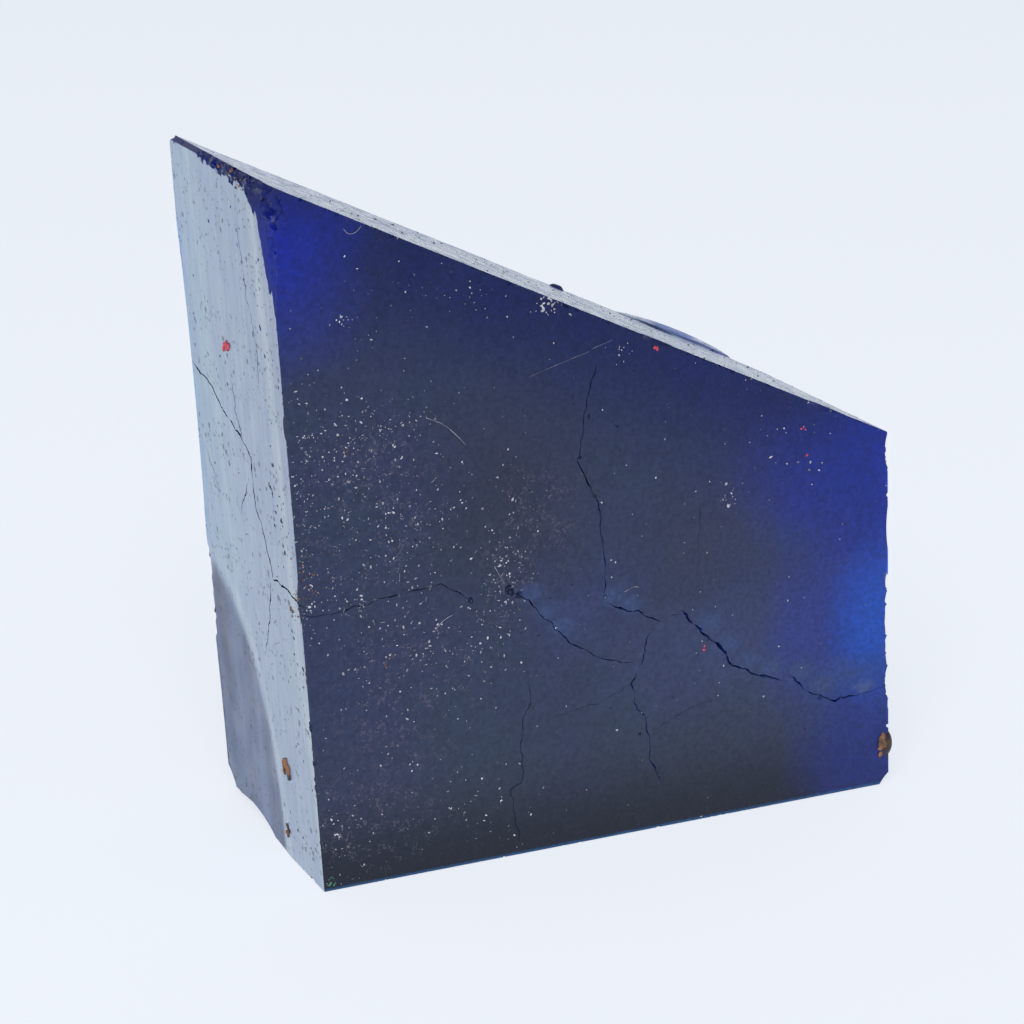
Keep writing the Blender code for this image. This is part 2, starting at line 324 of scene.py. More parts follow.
broken = new_group("broken away")
for name, place, names, half_length, half_height, depth, turn in SHELLS:
    axes, middle, half_sizes = sunk_in(place, names, half_length, half_height, depth)
    ball(name, middle, half_sizes, axes @ Matrix.Rotation(math.radians(turn), 4, "Z"), broken)
cut_or_join(stone, broken, "DIFFERENCE")
print("broken block:", len(stone.data.polygons), "faces")

# %% [markdown]
# ## A skin fine enough to bend
# After the Booleans the flat faces are single large polygons, and nothing can dent them. Subdividing
# such a polygon gives long thin slivers. Slicing the whole stone by evenly spaced planes, in all
# three directions, gives an even net of small squares instead, and keeps every edge where it is.

# %% Slice the stone into a net
NET = 0.5


def planes_across(axis):
    """Places of the slicing planes along one axis, in metres."""
    corners = [corner[axis] for corner in stone.bound_box]
    low, high = min(corners), max(corners)
    count = int((high - low) / (NET * MM))
    return [low + (high - low) * (i + 0.5) / count for i in range(count)]


slices = [planes_across(axis) for axis in range(3)]
with edit_mode(stone):
    for axis, places in enumerate(slices):
        outward = Vector([float(i == axis) for i in range(3)])
        for place in places:
            bpy.ops.mesh.select_all(action="SELECT")
            bpy.ops.mesh.bisect(plane_co=place * outward, plane_no=outward)
print("netted stone:", len(stone.data.polygons), "faces after", sum(map(len, slices)), "slices")

# %% [markdown]
# ## Pressing in saw waves and ripples
# No sawn face is truly flat: the blade leaves faint waves along its path. A break has ripples that
# spread in rings from where the blow fell, and a low end that was split off wavers. Each kind is
# painted as weights on the vertices, just as with a weight brush, and a Displace modifier presses
# the painted skin in along its normals. Pressing only inwards keeps the stone within its measures.

# %% Weights painted by a rule, then pressed in
LEAST_WEIGHT = 0.001


def place_of(spot):
    """From the frame's metres back to along, deep and high in millimetres."""
    return Vector((spot.x / MM + MIDDLE_LENGTH, spot.y / MM + MIDDLE_DEPTH, spot.z / MM - RIM))


def wobble(*values):
    """Smooth noise from 0 to 1 at a place."""
    return min(1.0, max(0.0, 0.5 + 0.62 * noise.noise(Vector(values))))


def press_in(piece, name, depth, rule):
    """Paints a group with rule(place, normal), from 0 to 1, and presses it in by depth in mm."""
    group = piece.vertex_groups.new(name=name)
    painted = 0
    for corner in piece.data.vertices:
        weight = rule(place_of(corner.co), corner.normal)
        if weight > LEAST_WEIGHT:
            group.add([corner.index], weight, "REPLACE")
            painted += 1
    step = piece.modifiers.new(name, "DISPLACE")
    step.direction = "NORMAL"
    step.mid_level = 0.0
    step.strength = -depth * MM
    step.vertex_group = name
    apply_all_modifiers(piece)
    piece.vertex_groups.clear()
    print(f"{name}: {painted} corners, up to {depth} mm")


def facing(normal, name, least=0.97):
    """True where the skin faces the way that a sawn face does."""
    return normal.dot(FACES[name][1]) > least


print("a weight up to", LEAST_WEIGHT, "is left unpainted")


# %% Saw waves on the sawn faces, and a wavering low end
def saw_waves(place, normal):
    along, deep, high = place
    if facing(normal, "tall_end"):
        return 0.7 * wobble(0.55 * deep, 0.02 * high, 3.0) + 0.3 * wobble(2.1 * deep, 0.05 * high, 7.0)
    if facing(normal, "crest"):
        return 0.6 * wobble(0.04 * along, 0.5 * deep, 5.0) + 0.4 * wobble(0.2 * along, 1.4 * deep, 8.0)
    if facing(normal, "front"):
        return 0.8 * wobble(0.11 * along, 0.13 * high, 1.0)
    return 0.0


def wavering(place, normal):
    if not facing(normal, "low_end", 0.6):
        return 0.0
    along, deep, high = place
    return 0.65 * wobble(0.16 * deep, 0.42 * high, 2.0) + 0.35 * wobble(0.5 * deep, 1.1 * high, 4.0)


SAW_WAVE_DEPTH = 0.05
WAVERING_DEPTH = 0.30
press_in(stone, "saw_waves", SAW_WAVE_DEPTH, saw_waves)
press_in(stone, "wavering", WAVERING_DEPTH, wavering)

# %% Ripples in the shells, and small steps where the cleavage tore
# where the blow fell (along, deep, high), how far the rings reach, and the first ring's width
BLOWS = (
    ((-6, 21, 47), 42, 1.6),
    ((52, 22, -2), 30, 1.3),
    ((50, 22, 33), 16, 1),
    ((51, 22, 6), 15, 1.1),
)
RING_GROWTH = 0.10
RIPPLE_DEPTH = 0.28
TEAR_DEPTH = 0.50
TEAR_STEPS = 5
# mm inside the sawn faces: where a hollow begins, and where its relief is at full strength
FLAT_ENOUGH = 0.06
FULL_RELIEF = 0.3


def off_every_flat(place):
    """How far a place lies inside the sawn faces, in millimetres: nothing on a flat, more in a shell."""
    spot = at(*place)
    return min((point - spot).dot(outward) for point, outward in FACES.values()) / MM


def ripples(place, normal):
    if normal.y < 0.5 and not facing(normal, "low_end", 0.8):
        return 0.0
    inside = off_every_flat(place)
    if inside < FLAT_ENOUGH:
        return 0.0
    total = 0.0
    for blow, reach, ring in BLOWS:
        away = (place - Vector(blow)).length
        if away < reach:
            phase = math.log(1 + RING_GROWTH * away) / (RING_GROWTH * ring)
            phase += 0.6 * noise.noise(0.12 * place)
            total += (1 - away / reach) * (0.5 + 0.5 * math.cos(math.tau * phase))
    return min(1.0, total) * min(1.0, inside / FULL_RELIEF)


def tears(place, normal):
    if normal.y < 0.5:
        return 0.0
    inside = off_every_flat(place)
    if inside < FLAT_ENOUGH:
        return 0.0
    along, deep, high = place
    rough = wobble(0.07 * along + 0.11 * high, 0.16 * high - 0.05 * along, 6.0)
    stepped = math.floor(TEAR_STEPS * rough) / TEAR_STEPS
    grain = wobble(0.8 * along, 0.8 * deep, 0.8 * high)
    return (0.75 * stepped + 0.25 * grain) * min(1.0, inside / FULL_RELIEF)


press_in(stone, "ripples", RIPPLE_DEPTH, ripples)
press_in(stone, "tears", TEAR_DEPTH, tears)

# %% [markdown]
# ## Cracks
# Tanzanite has one easy cleavage and is full of cracks. In daylight they read as thin dark lines,
# because they are deep and narrow. A crack could be painted, but then no wall of it would ever
# catch the light. Here each one is cut: a jagged path is drawn with a diamond section, which swells
# and thins along the way, and is stretched deep into the stone. Its points are listed one by one.

# %% Crack routes: name, face, half width, depth, and points along (or deep) and high
CRACKS = (
    ("long_crack_start", "front", 0.09, 0.9, (
        (24.1, 20), (25.3, 19.5), (26.2, 18.9), (27.3, 18.7), (28.7, 17.8), (29.6, 17.5))),
    ("long_crack", "front", 0.17, 1.2, (
        (31, 18.2), (32.2, 16.8), (33.3, 15.8), (34.8, 14.5), (35.5, 13.1), (36.4, 12.5), (37.9, 11.7),
        (39.8, 11), (40.6, 10.7))),
    ("long_crack_step", "front", 0.13, 1, (
        (40.9, 11.6), (41.8, 10.45), (43.5, 8.9), (45.7, 8.1), (47.9, 8.1))),
    ("long_crack_end", "front", 0.05, 0.7, ((47.5, 8.05), (49.7, 8.4), (50.6, 8.7))),
    ("upright_crack", "front", 0.07, 0.9, (
        (23.4, 39.6), (22.8, 38), (22.3, 35.7), (22.1, 34.1), (21.7, 31.9), (22.9, 29.7), (23.6, 28),
        (23.9, 24.7), (24.25, 22.6), (24.1, 20.2))),
    ("level_crack_left", "front", 0.055, 0.7, (
        (-1.6, 22.8), (-0.3, 22.55), (1.5, 22.6), (3.4, 22.85), (4.75, 23.1), (6.8, 23.3), (8.5, 23.4),
        (10.1, 23.6), (11.3, 22.9), (12.7, 21.9))),
    ("level_crack_middle", "front", 0.065, 0.9, (
        (15.3, 22.5), (17.2, 21.4), (18.7, 19.8), (19.9, 18.4), (21.2, 17), (23.3, 15.6), (24.6, 14.9),
        (26.9, 14.4))),
    ("low_crack", "front", 0.065, 0.8, (
        (28.7, 17.6), (28, 16.2), (27.6, 14.3), (26.7, 12.7), (26.95, 11.1), (27.9, 9.4), (28.3, 8),
        (28.4, 6), (29.25, 4.3), (29.6, 3.3))),
    ("foot_crack", "front", 0.055, 0.7, (
        (17.5, 14.8), (17.7, 12.65), (17, 10.9), (16.9, 8.75), (17.1, 7), (16.9, 5.9), (16, 5.5),
        (16.3, 3.6), (16.8, 1.05))),
    ("hairline_right", "front", 0.028, 0.5, ((32.6, 27.7), (32.5, 24.2), (32.7, 21), (32.6, 18.7))),
    ("hairline_far_right", "front", 0.024, 0.4, ((40.9, 22.5), (40.5, 19.5), (40.4, 16.9))),
    ("hairline_foot", "front", 0.028, 0.5, ((19.3, 11), (23.6, 11.5), (26.7, 12.7))),
    ("hairline_cross", "front", 0.024, 0.4, ((28.3, 8.2), (31.6, 9.6), (35.2, 10.3))),
    ("end_crack", "tall_end", 0.12, 1, (
        (20.9, 37.9), (20.3, 37.5), (16.6, 36.8), (14.4, 35.5), (12.1, 34.7), (10, 33.9), (8.3, 33),
        (8.5, 31.3), (8.2, 29), (7.15, 27.6), (6, 25.1), (5.6, 23.9), (4.5, 23.9), (2.4, 24.1),
        (0.6, 23.6), (-0.4, 22.9))),
    ("end_branch", "tall_end", 0.09, 0.8, ((6.4, 23.6), (7.1, 20.6), (8.2, 18), (9.2, 16.5))),
    ("end_side_branch", "tall_end", 0.08, 0.7, ((9.3, 31), (10.6, 29.3), (12.2, 27.2))),
    ("end_upper_line", "tall_end", 0.05, 0.6, (
        (7.05, 52.3), (6.5, 49), (6.2, 46), (5.4, 44.9), (4.8, 42.1), (5.2, 39))),
    ("end_spur_high", "tall_end", 0.10, 0.7, ((11.2, 38.4), (11, 36), (9.8, 33.9))),
    ("end_spur_back", "tall_end", 0.07, 0.6, ((19.2, 31), (17.4, 28.6), (16.6, 27.4))),
    ("back_crack_high", "back", 0.10, 2.6, (
        (2, 44), (6.5, 41), (10, 40.2), (14.5, 36.8), (17, 33), (21.5, 30.5), (24, 26.4))),
    ("back_crack_long", "back", 0.13, 3, (
        (50, 10), (44.5, 12.5), (40, 12), (35, 15.5), (30.5, 19.5), (26, 20), (21, 24),
        (15.5, 24.5))),
    ("back_branch", "back", 0.07, 2.6, ((30.5, 19.4), (29, 14), (30, 9.5), (28, 4))),
    ("back_hairline", "back", 0.05, 2.4, ((8, 30), (9.5, 24), (8, 17), (10, 11))),
    ("low_end_crack", "low_end", 0.09, 1.8, (
        (0.3, 8.4), (4, 9), (8.5, 11), (12, 10.2), (17, 12.5), (20.5, 11.6))),
    ("low_end_branch", "low_end", 0.05, 1.4, ((8.4, 11), (9.2, 16), (8, 21))),
    ("long_crack_link", "front", 0.06, 0.7, ((29.3, 17.55), (30.2, 17.95), (31.3, 18.1))),
)
print(len(CRACKS), "crack routes")

# %% Finding a spot on a face, and letting a route wander
BACK_DEPTH = 21.6
CRACK_STEP = 0.22
CRACK_TAPER = 1.5
CRACK_SEAM = 0.0005
# how far a crack sways aside in mm, and how quickly, from its slow bends to its small teeth
CRACK_SWAYS = ((0.20, 0.22), (0.12, 0.75), (0.06, 2.1))


def face_frame(name):
    """A face's own axes, with the origin on the face at the foot's near corner."""
    return Matrix.Translation(FACES[name][0]) @ facing_frame((name,))


def on_face(name, sideways, high):
    """A spot on the front or the back (along, high), or on an end (deep, high)."""
    if name in ("front", "back"):
        return at(sideways, 0 if name == "front" else BACK_DEPTH, high)
    if name == "low_end":
        return at(FOOT_LENGTH - LOW_END_LEAN * high / LOW_HEIGHT, sideways, high)
    return at(-TALL_END_LEAN * high / HEIGHT, sideways, high)


def jagged(spots, seed):
    """Splits a route, in one face's own plane, into short steps that wander to both sides."""
    steps = []
    for start, end in zip(spots, spots[1:]):
        count = max(1, round((end - start).length / (CRACK_STEP * MM)))
        steps += [start.lerp(end, i / count) for i in range(count)]
    steps.append(spots[-1])
    path = []
    for i, spot in enumerate(steps):
        way = (steps[min(i + 1, len(steps) - 1)] - steps[max(i - 1, 0)]).normalized()
        aside = Vector((-way.y, way.x, 0))
        sway = sum(reach * noise.noise(Vector((pace * i, seed, 0.3))) for reach, pace in CRACK_SWAYS)
        path.append(spot + sway * MM * aside)
    return path


print("a crack takes a step every", CRACK_STEP, "mm")


# %% Each crack as a wedge, cut into the stone
def line_to_mesh(line, seam):
    """Turns a thick line into a closed mesh: corners that lie within seam mm of each other merge."""
    only(line)
    bpy.ops.object.convert(target="MESH")
    with edit_mode(line):
        bpy.ops.mesh.remove_doubles(threshold=seam * MM)
        bpy.ops.mesh.normals_make_consistent(inside=False)


def crack_cutter(name, face, half_width, depth, spots, seed, group):
    """A crack's wedge along a jagged path; it thins to nothing at both ends and swells in between."""
    frame_of_face = face_frame(face)
    home = frame_of_face.inverted()
    path = jagged([home @ on_face(face, *spot) for spot in spots], seed)
    line = bpy.data.curves.new(name, "CURVE")
    line.dimensions = "3D"
    line.bevel_depth = half_width * MM
    line.bevel_resolution = 0
    line.use_fill_caps = True
    run = line.splines.new("POLY")
    run.points.add(len(path) - 1)
    for i, spot in enumerate(path):
        to_end = min(i, len(path) - 1 - i) * CRACK_STEP / CRACK_TAPER
        swell = 0.62 + 0.9 * noise.noise(Vector((0.19 * i, seed, 4.0)))
        swell += 0.5 * noise.noise(Vector((0.8 * i, seed, 7.0)))
        run.points[i].co = (spot.x, spot.y, 0.0, 1.0)
        run.points[i].radius = min(1.5, max(0.10, swell)) * min(1.0, 0.15 + to_end)
    made = bpy.data.objects.new(name, line)
    group.objects.link(made)
    line_to_mesh(made, CRACK_SEAM)
    made.data.transform(frame_of_face @ Matrix.Diagonal((1.0, 1.0, depth / half_width, 1.0)))


split_open = new_group("split open")
for seed, (name, face, half_width, depth, spots) in enumerate(CRACKS):
    crack_cutter(name, face, half_width, depth, spots, seed, split_open)
cut_or_join(stone, split_open, "DIFFERENCE")
print("cracked block:", len(stone.data.polygons), "faces")

# %% [markdown]
# ## Pits and nibbled edges
# A diamond saw plucks tiny bits out of a brittle stone, most of all along its edges, so no edge is a
# clean line: it is a row of bites. One rough pebble is modelled once and copied into every bite,
# each copy turned and stretched in its own way. All of them are then cut out in one Boolean. Their
# places are drawn at random along the edges, from a fixed seed, so every run gives the same stone.

# %% One rough pebble, copied into every bite
PEBBLE_ROUGHNESS = 0.28
PEBBLE_GRAIN = 2.3
PEBBLE_FACES_KEPT = 0.6

bpy.ops.object.select_all(action="DESELECT")
bpy.ops.mesh.primitive_ico_sphere_add(subdivisions=2, radius=1.0)
pebble = bpy.context.active_object
pebble.name = "pebble"
for corner in pebble.data.vertices:
    corner.co *= 1 + PEBBLE_ROUGHNESS * noise.noise(PEBBLE_GRAIN * corner.co)
with edit_mode(pebble):
    bpy.ops.mesh.decimate(ratio=PEBBLE_FACES_KEPT)


def bite(spot, half_sizes, turn, group):
    """Copies the pebble, with its own mesh, to a spot in metres."""
    copy = bpy.data.objects.new("bite", pebble.data.copy())
    copy.data.transform(Matrix.Translation(spot) @ turn @ Matrix.Diagonal((*half_sizes, 1.0)))
    group.objects.link(copy)


def any_turn(draw):
    """A turn drawn at random about all three axes."""
    about = [Matrix.Rotation(draw.uniform(0, math.tau), 4, axis) for axis in "XYZ"]
    return about[0] @ about[1] @ about[2]


def drawn_size(draw, smallest, largest, rarity):
    """A size drawn at random; the higher the rarity, the fewer are large."""
    return smallest + (largest - smallest) * draw.random() ** rarity


print("pebble:", len(pebble.data.polygons), "faces")

# %% Bites along the edges: name, start and end (along, deep, high), number, smallest and largest size
EDGE_BITES = (
    ("front_left_edge", (-0.1, 0, 1), (-3.2, 0, 52), 46, 0.10, 0.34),
    ("front_crest_edge", (-2.6, 0, 55.5), (49.4, 0, 31), 100, 0.08, 0.30),
    ("low_end_edge", (51, 0, 2), (49.8, 0, 30.6), 15, 0.08, 0.22),
    ("tip_edge", (-3.4, 1, 55.9), (-3.4, 20, 55.9), 20, 0.18, 0.50),
    ("tall_end_back_edge", (-0.6, 22.2, 8), (-3.3, 21.2, 54), 24, 0.12, 0.36),
    ("back_crest_edge", (-2, 21.1, 55.3), (46.5, 20.9, 32.2), 34, 0.14, 0.42),
    ("foot_front_edge", (0.6, 0, -0.3), (50.5, 0, -0.3), 34, 0.08, 0.24),
    ("foot_end_edge", (0, 0.6, -0.3), (0, 17, -0.3), 14, 0.12, 0.34),
    ("foot_low_edge", (51.2, 1, -0.3), (49.2, 20.5, -0.3), 12, 0.14, 0.40),
    ("crest_low_edge", (49.7, 0.8, 30.9), (48, 19, 31.7), 12, 0.12, 0.34),
)
BITE_SEED = 71

draw = random.Random(BITE_SEED)
nibbled = new_group("nibbled away")
for name, start, end, count, smallest, largest in EDGE_BITES:
    print(f"{name}: {count} bites")
    for _ in range(count):
        spot = at(*start).lerp(at(*end), draw.random())
        size = MM * drawn_size(draw, smallest, largest, 2.2)
        half_sizes = (size, size * draw.uniform(0.7, 1.6), size * draw.uniform(0.6, 1.1))
        bite(spot, half_sizes, any_turn(draw), nibbled)

# %% Torn edges: name, middle, faces, half width across, half length along, depth, roughness
# a face that is named twice draws the ball towards it
TORN_EDGES = (
    ("tip_edge_near", (-3.4, 1.6, 55.9), ("tall_end", "crest"), 1.7, 2.6, 0.55, 0.55),
    ("tip_edge_second", (-3.4, 4.6, 55.9), ("tall_end", "crest"), 1.25, 2.6, 0.42, 0.5),
    ("tip_edge_middle", (-3.4, 8.6, 55.9), ("tall_end", "crest"), 0.9, 3.2, 0.32, 0.4),
    ("tip_edge_far", (-3.4, 14.5, 55.9), ("tall_end", "crest"), 0.75, 4.5, 0.26, 0.4),
    ("tip_corner_near", (-3.45, 0, 55.4), ("tall_end", "crest", "front"), 1.5, 1.9, 0.5, 0.5),
    ("tip_band_near", (-3.38, 3.4, 55.2), ("tall_end", "tall_end", "crest"), 1.3, 2.4, 0.30, 0.5),
    ("tip_band_second", (-3.38, 7, 55.3), ("tall_end", "tall_end", "crest"), 1.05, 2.6, 0.26, 0.5),
    ("tip_band_third", (-3.38, 11, 55.35), ("tall_end", "tall_end", "crest"), 1, 2.4, 0.25, 0.5),
    ("tip_band_fourth", (-3.38, 13.6, 55.5), ("tall_end", "tall_end", "crest"), 0.8, 1.6, 0.20, 0.4),
    ("tall_edge_torn", (-3.1, 0, 51), ("tall_end", "front"), 1.2, 5, 0.42, 0.35),
    ("tip_corner_torn", (-3.35, 0, 54.4), ("tall_end", "front"), 2.4, 2.6, 0.80, 0.45),
)
TORN_GRAIN = 1.3


def torn_ball(name, place, names, half_across, half_along, depth, roughness, group):
    """A long flat ball whose skin is torn up by noise, sunk into an edge."""
    axes, middle, half_sizes = sunk_in(place, names, half_across, half_along, depth)
    bpy.ops.object.select_all(action="DESELECT")
    bpy.ops.mesh.primitive_ico_sphere_add(subdivisions=5, radius=1.0)
    made = bpy.context.active_object
    made.name = name
    made.matrix_world = Matrix.Translation(middle) @ axes @ Matrix.Diagonal((*half_sizes, 1.0))
    settle(made)
    for corner in made.data.vertices:
        coarse = noise.noise(TORN_GRAIN * corner.co / MM)
        sway = coarse + 0.5 * noise.noise(2.7 * TORN_GRAIN * corner.co / MM)
        corner.co += roughness * MM * sway * (corner.co - middle).normalized()
    move_to(made, group)


torn_away = new_group("torn away")
for tear in TORN_EDGES:
    torn_ball(*tear, torn_away)
cut_or_join(stone, torn_away, "DIFFERENCE")
print("torn block:", len(stone.data.polygons), "faces")

# %% Pits in the faces: name, face, sideways range, height range, number, smallest and largest size
FACE_PITS = (
    ("tall_end_all_over", "tall_end", (0.8, 19.5), (2, 53), 60, 0.06, 0.17),
    ("tall_end_near_edge", "tall_end", (0.5, 4.5), (14, 50), 46, 0.06, 0.20),
    ("tall_end_low_cluster", "tall_end", (2.2, 4.6), (26, 32), 12, 0.10, 0.24),
    ("front_all_over", "front", (1, 49), (1, 29), 70, 0.05, 0.14),
    ("front_high", "front", (0, 26), (28, 42), 30, 0.05, 0.14),
    ("back_all_over", "back", (0, 49), (1, 40), 60, 0.08, 0.26),
    ("low_end_all_over", "low_end", (1, 20), (1, 29), 40, 0.07, 0.22),
)
PIT_SINK = 0.35
CREST_PITS = 60
CREST_PIT_ROWS = (1.5, 3.0, 18.5, 19.6)
CREST_LENGTH = FOOT_LENGTH + TALL_END_LEAN - LOW_END_LEAN
# cavities where two cracks meet the face: along, high and half sizes
CAVITIES = (
    (15.9, 22.2, (0.60, 0.42, 0.36)), (16.7, 21.7, (0.42, 0.35, 0.30)), (12.6, 21.9, (0.30, 0.24, 0.22)),
    (24.2, 20.4, (0.26, 0.2, 0.2)), (22.6, 35.4, (0.14, 0.16, 0.22)), (21.9, 32.2, (0.13, 0.15, 0.22)),
    (23.2, 28.9, (0.16, 0.16, 0.26)), (33.6, 15.4, (0.26, 0.2, 0.2)), (44.2, 8.5, (0.24, 0.2, 0.18)),
)
print(sum(row[4] for row in FACE_PITS) + CREST_PITS, "pits and", len(CAVITIES), "cavities")

# %% Cut all bites, pits and cavities at once
for name, face, sideways, high, count, smallest, largest in FACE_PITS:
    print(f"{name}: {count} pits")
    out = FACES[face][1]
    for _ in range(count):
        spot = on_face(face, draw.uniform(*sideways), draw.uniform(*high))
        size = MM * drawn_size(draw, smallest, largest, 2)
        half_sizes = (size, size * draw.uniform(0.8, 1.9), size * draw.uniform(0.8, 1.2))
        bite(spot + PIT_SINK * size * out, half_sizes, any_turn(draw), nibbled)
for _ in range(CREST_PITS):
    along = draw.uniform(-1.0, 47.5)
    high = HEIGHT - (HEIGHT - LOW_HEIGHT) * (along + TALL_END_LEAN) / CREST_LENGTH
    size = MM * draw.uniform(0.08, 0.26)
    half_sizes = (size, size * draw.uniform(0.8, 1.8), size)
    deep = draw.choice(CREST_PIT_ROWS) * draw.uniform(0.7, 1.05)
    bite(at(along, deep, high), half_sizes, any_turn(draw), nibbled)
for along, high, half_sizes in CAVITIES:
    bite(at(along, 0, high), [half * MM for half in half_sizes], any_turn(draw), nibbled)
cut_or_join(stone, nibbled, "DIFFERENCE")
bpy.data.objects.remove(pebble)
print("nibbled block:", len(stone.data.polygons), "faces")

# %% [markdown]
# ## Clean up and shade
# A pebble that lay just under the skin cuts a bubble that nobody can see. The bubbles are separate
# islands of the mesh, so the largest island is kept and the rest deleted. Smooth shading by angle
# then keeps every sawn edge crisp and lets the waves flow.

# %% Keep the one outer skin and shade it by angle
CREASE = 28


def islands(mesh):
    """Groups of corners that hang together, the largest first."""
    lead = list(range(len(mesh.vertices)))

    def root(i):
        while lead[i] != i:
            lead[i] = lead[lead[i]]
            i = lead[i]
        return i

    for edge in mesh.edges:
        a, b = (root(i) for i in edge.vertices)
        lead[a] = b
    groups = {}
    for i in range(len(mesh.vertices)):
        groups.setdefault(root(i), []).append(i)
    return sorted(groups.values(), key=len, reverse=True)


bubbles = islands(stone.data)[1:]
with edit_mode(stone):
    bpy.ops.mesh.select_all(action="DESELECT")
for bubble in bubbles:
    for i in bubble:
        stone.data.vertices[i].select = True
bpy.ops.object.mode_set(mode="EDIT")
bpy.ops.mesh.select_mode(type="VERT")
bpy.ops.mesh.delete(type="VERT")
bpy.ops.object.mode_set(mode="OBJECT")
bpy.ops.object.shade_smooth_by_angle(angle=math.radians(CREASE))
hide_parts("tanzanite")
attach(stone, "root")
print("stone:", len(stone.data.polygons), "faces,", len(bubbles), "bubbles removed")

# %% [markdown]
# ## Grit, flecks and lint
# Saw mud dried on the front as pale grit, rust and red rubber stick in nicks, and lint from a cloth
# lies over all. Such specks could be painted, but up close real grit stands out of the face and
# catches the light. So one grain is modelled and copied thousands of times, each copy turned and
# stretched in its own way. A ray shot at the stone finds the exact spot on the skin for each.

# %% One grain, and a way to find the skin
# how uneven a grain is, how much of it lies below the skin, and how far out a ray starts in mm
GRAIN_ROUGHNESS = 0.5
GRAIN_SINK = 0.25
FAR_OUT = 20.0


def skin_under(spot, outward):
    """The point of the stone's skin straight below a spot, and the skin's normal there."""
    hit, place, slope, _ = stone.ray_cast(spot + FAR_OUT * MM * outward, -outward)
    return (place, slope) if hit else (None, None)


bpy.ops.object.select_all(action="DESELECT")
bpy.ops.mesh.primitive_ico_sphere_add(subdivisions=1, radius=1.0)
grain = bpy.context.active_object
grain.name = "grain"
for corner in grain.data.vertices:
    corner.co *= 1 + GRAIN_ROUGHNESS * noise.noise(3.1 * corner.co + Vector((5, 0, 2)))
print("grain:", len(grain.data.polygons), "faces")


def lay_grain(heap, spot, outward, half_sizes, turn):
    """Copies the grain into a heap, on the skin and a little sunk in; half sizes in mm."""
    place, slope = skin_under(spot, outward)
    if place is None:
        return
    lie = slope.to_track_quat("Z", "Y").to_matrix().to_4x4() @ Matrix.Rotation(turn, 4, "Z")
    middle = place + (1 - 2 * GRAIN_SINK) * half_sizes[2] * MM * slope
    copy = grain.data.copy()
    copy.transform(Matrix.Translation(middle) @ lie @ Matrix.Diagonal((*half_sizes, 1 / MM)) * MM)
    heap.from_mesh(copy)
    bpy.data.meshes.remove(copy)


def heaped(heap, name):
    """Turns a heap of grains into one named piece that rides on the stone's body."""
    piece = bpy.data.objects.new(name, bpy.data.meshes.new(name))
    bpy.context.collection.objects.link(piece)
    heap.to_mesh(piece.data)
    heap.free()
    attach(piece, "root")
    print(f"{name}: {len(piece.data.polygons)} faces")
    return piece


# %% Where pale grit lies: face, middle, spread, number, smallest and largest half width in mm
GRIT_PATCHES = (
    ("front", (3.2, 34), (3, 3.4), 312, 0.026, 0.104),
    ("front", (7.6, 27.8), (3.4, 3), 288, 0.026, 0.097),
    ("front", (-0.9, 30), (0.5, 6.5), 188, 0.029, 0.109),
    ("front", (6.4, 37), (2.2, 1.3), 62, 0.026, 0.086),
    ("front", (15.7, 24.4), (1.3, 3.2), 150, 0.026, 0.109),
    ("front", (12, 17.6), (2.4, 2.3), 106, 0.029, 0.104),
    ("front", (5.6, 18.4), (3, 2.6), 119, 0.026, 0.104),
    ("front", (3, 23.6), (2, 1.6), 75, 0.026, 0.097),
    ("front", (5, 8.5), (4.5, 4), 88, 0.026, 0.097),
    ("front", (23, 26), (16, 13), 300, 0.023, 0.086),
    ("front", (35.3, 27.2), (0.7, 0.9), 25, 0.034, 0.122),
    ("front", (42, 30.6), (2.2, 1.5), 14, 0.034, 0.109),
    ("front", (19.4, 44.7), (0.6, 0.4), 30, 0.046, 0.150),
    ("front", (26.1, 40.4), (0.6, 0.5), 10, 0.034, 0.097),
    ("front", (1.6, 3.4), (1, 2.4), 55, 0.026, 0.104),
    ("front", (13.5, 4.6), (3.6, 2.2), 60, 0.026, 0.100),
    ("front", (26, 10), (12, 6), 70, 0.023, 0.086),
    ("front", (12.2, 46.1), (0.8, 0.5), 14, 0.030, 0.110),
    ("front", (2.6, 45.3), (0.5, 0.25), 12, 0.030, 0.100),
    ("front", (8, 46), (4, 2.6), 60, 0.023, 0.090),
    ("tall_end", (9, 30), (7, 18), 38, 0.029, 0.073),
)
# single larger crumbs on the front: (along, high), half length and half width
CRUMBS = (
    ((35.07, 26.5), (0.17, 0.15)), ((38.8, 9.6), (0.12, 0.09)), ((35, 12.9), (0.09, 0.08)),
    ((13, 5.5), (0.20, 0.07)), ((4.9, 9.5), (0.12, 0.09)), ((5.8, 18.5), (0.12, 0.09)),
    ((7.2, 17), (0.16, 0.07)), ((7, 34.2), (0.10, 0.08)), ((15.9, 23.6), (0.11, 0.09)),
    ((16.9, 16.1), (0.09, 0.11)), ((14.6, 38.7), (0.08, 0.10)), ((-1.4, 40.3), (0.18, 0.06)),
    ((23.8, 28.3), (0.10, 0.09)), ((0.7, 19.3), (0.11, 0.09)), ((19.6, 41.6), (0.10, 0.08)),
    ((21, 43.7), (0.17, 0.07)), ((15.7, 44.1), (0.10, 0.08)),
)
# grains here and there on the other faces too, twice as many on the back
OTHER_FACES = ("crest", "back", "back", "low_end")
OTHER_GRAINS = 300
GRAIN_SHAPE = ((0.9, 1.7), (0.7, 1.1), (0.4, 0.8))
GRIT_SEED = 19
print(len(GRIT_PATCHES), "patches of grit")

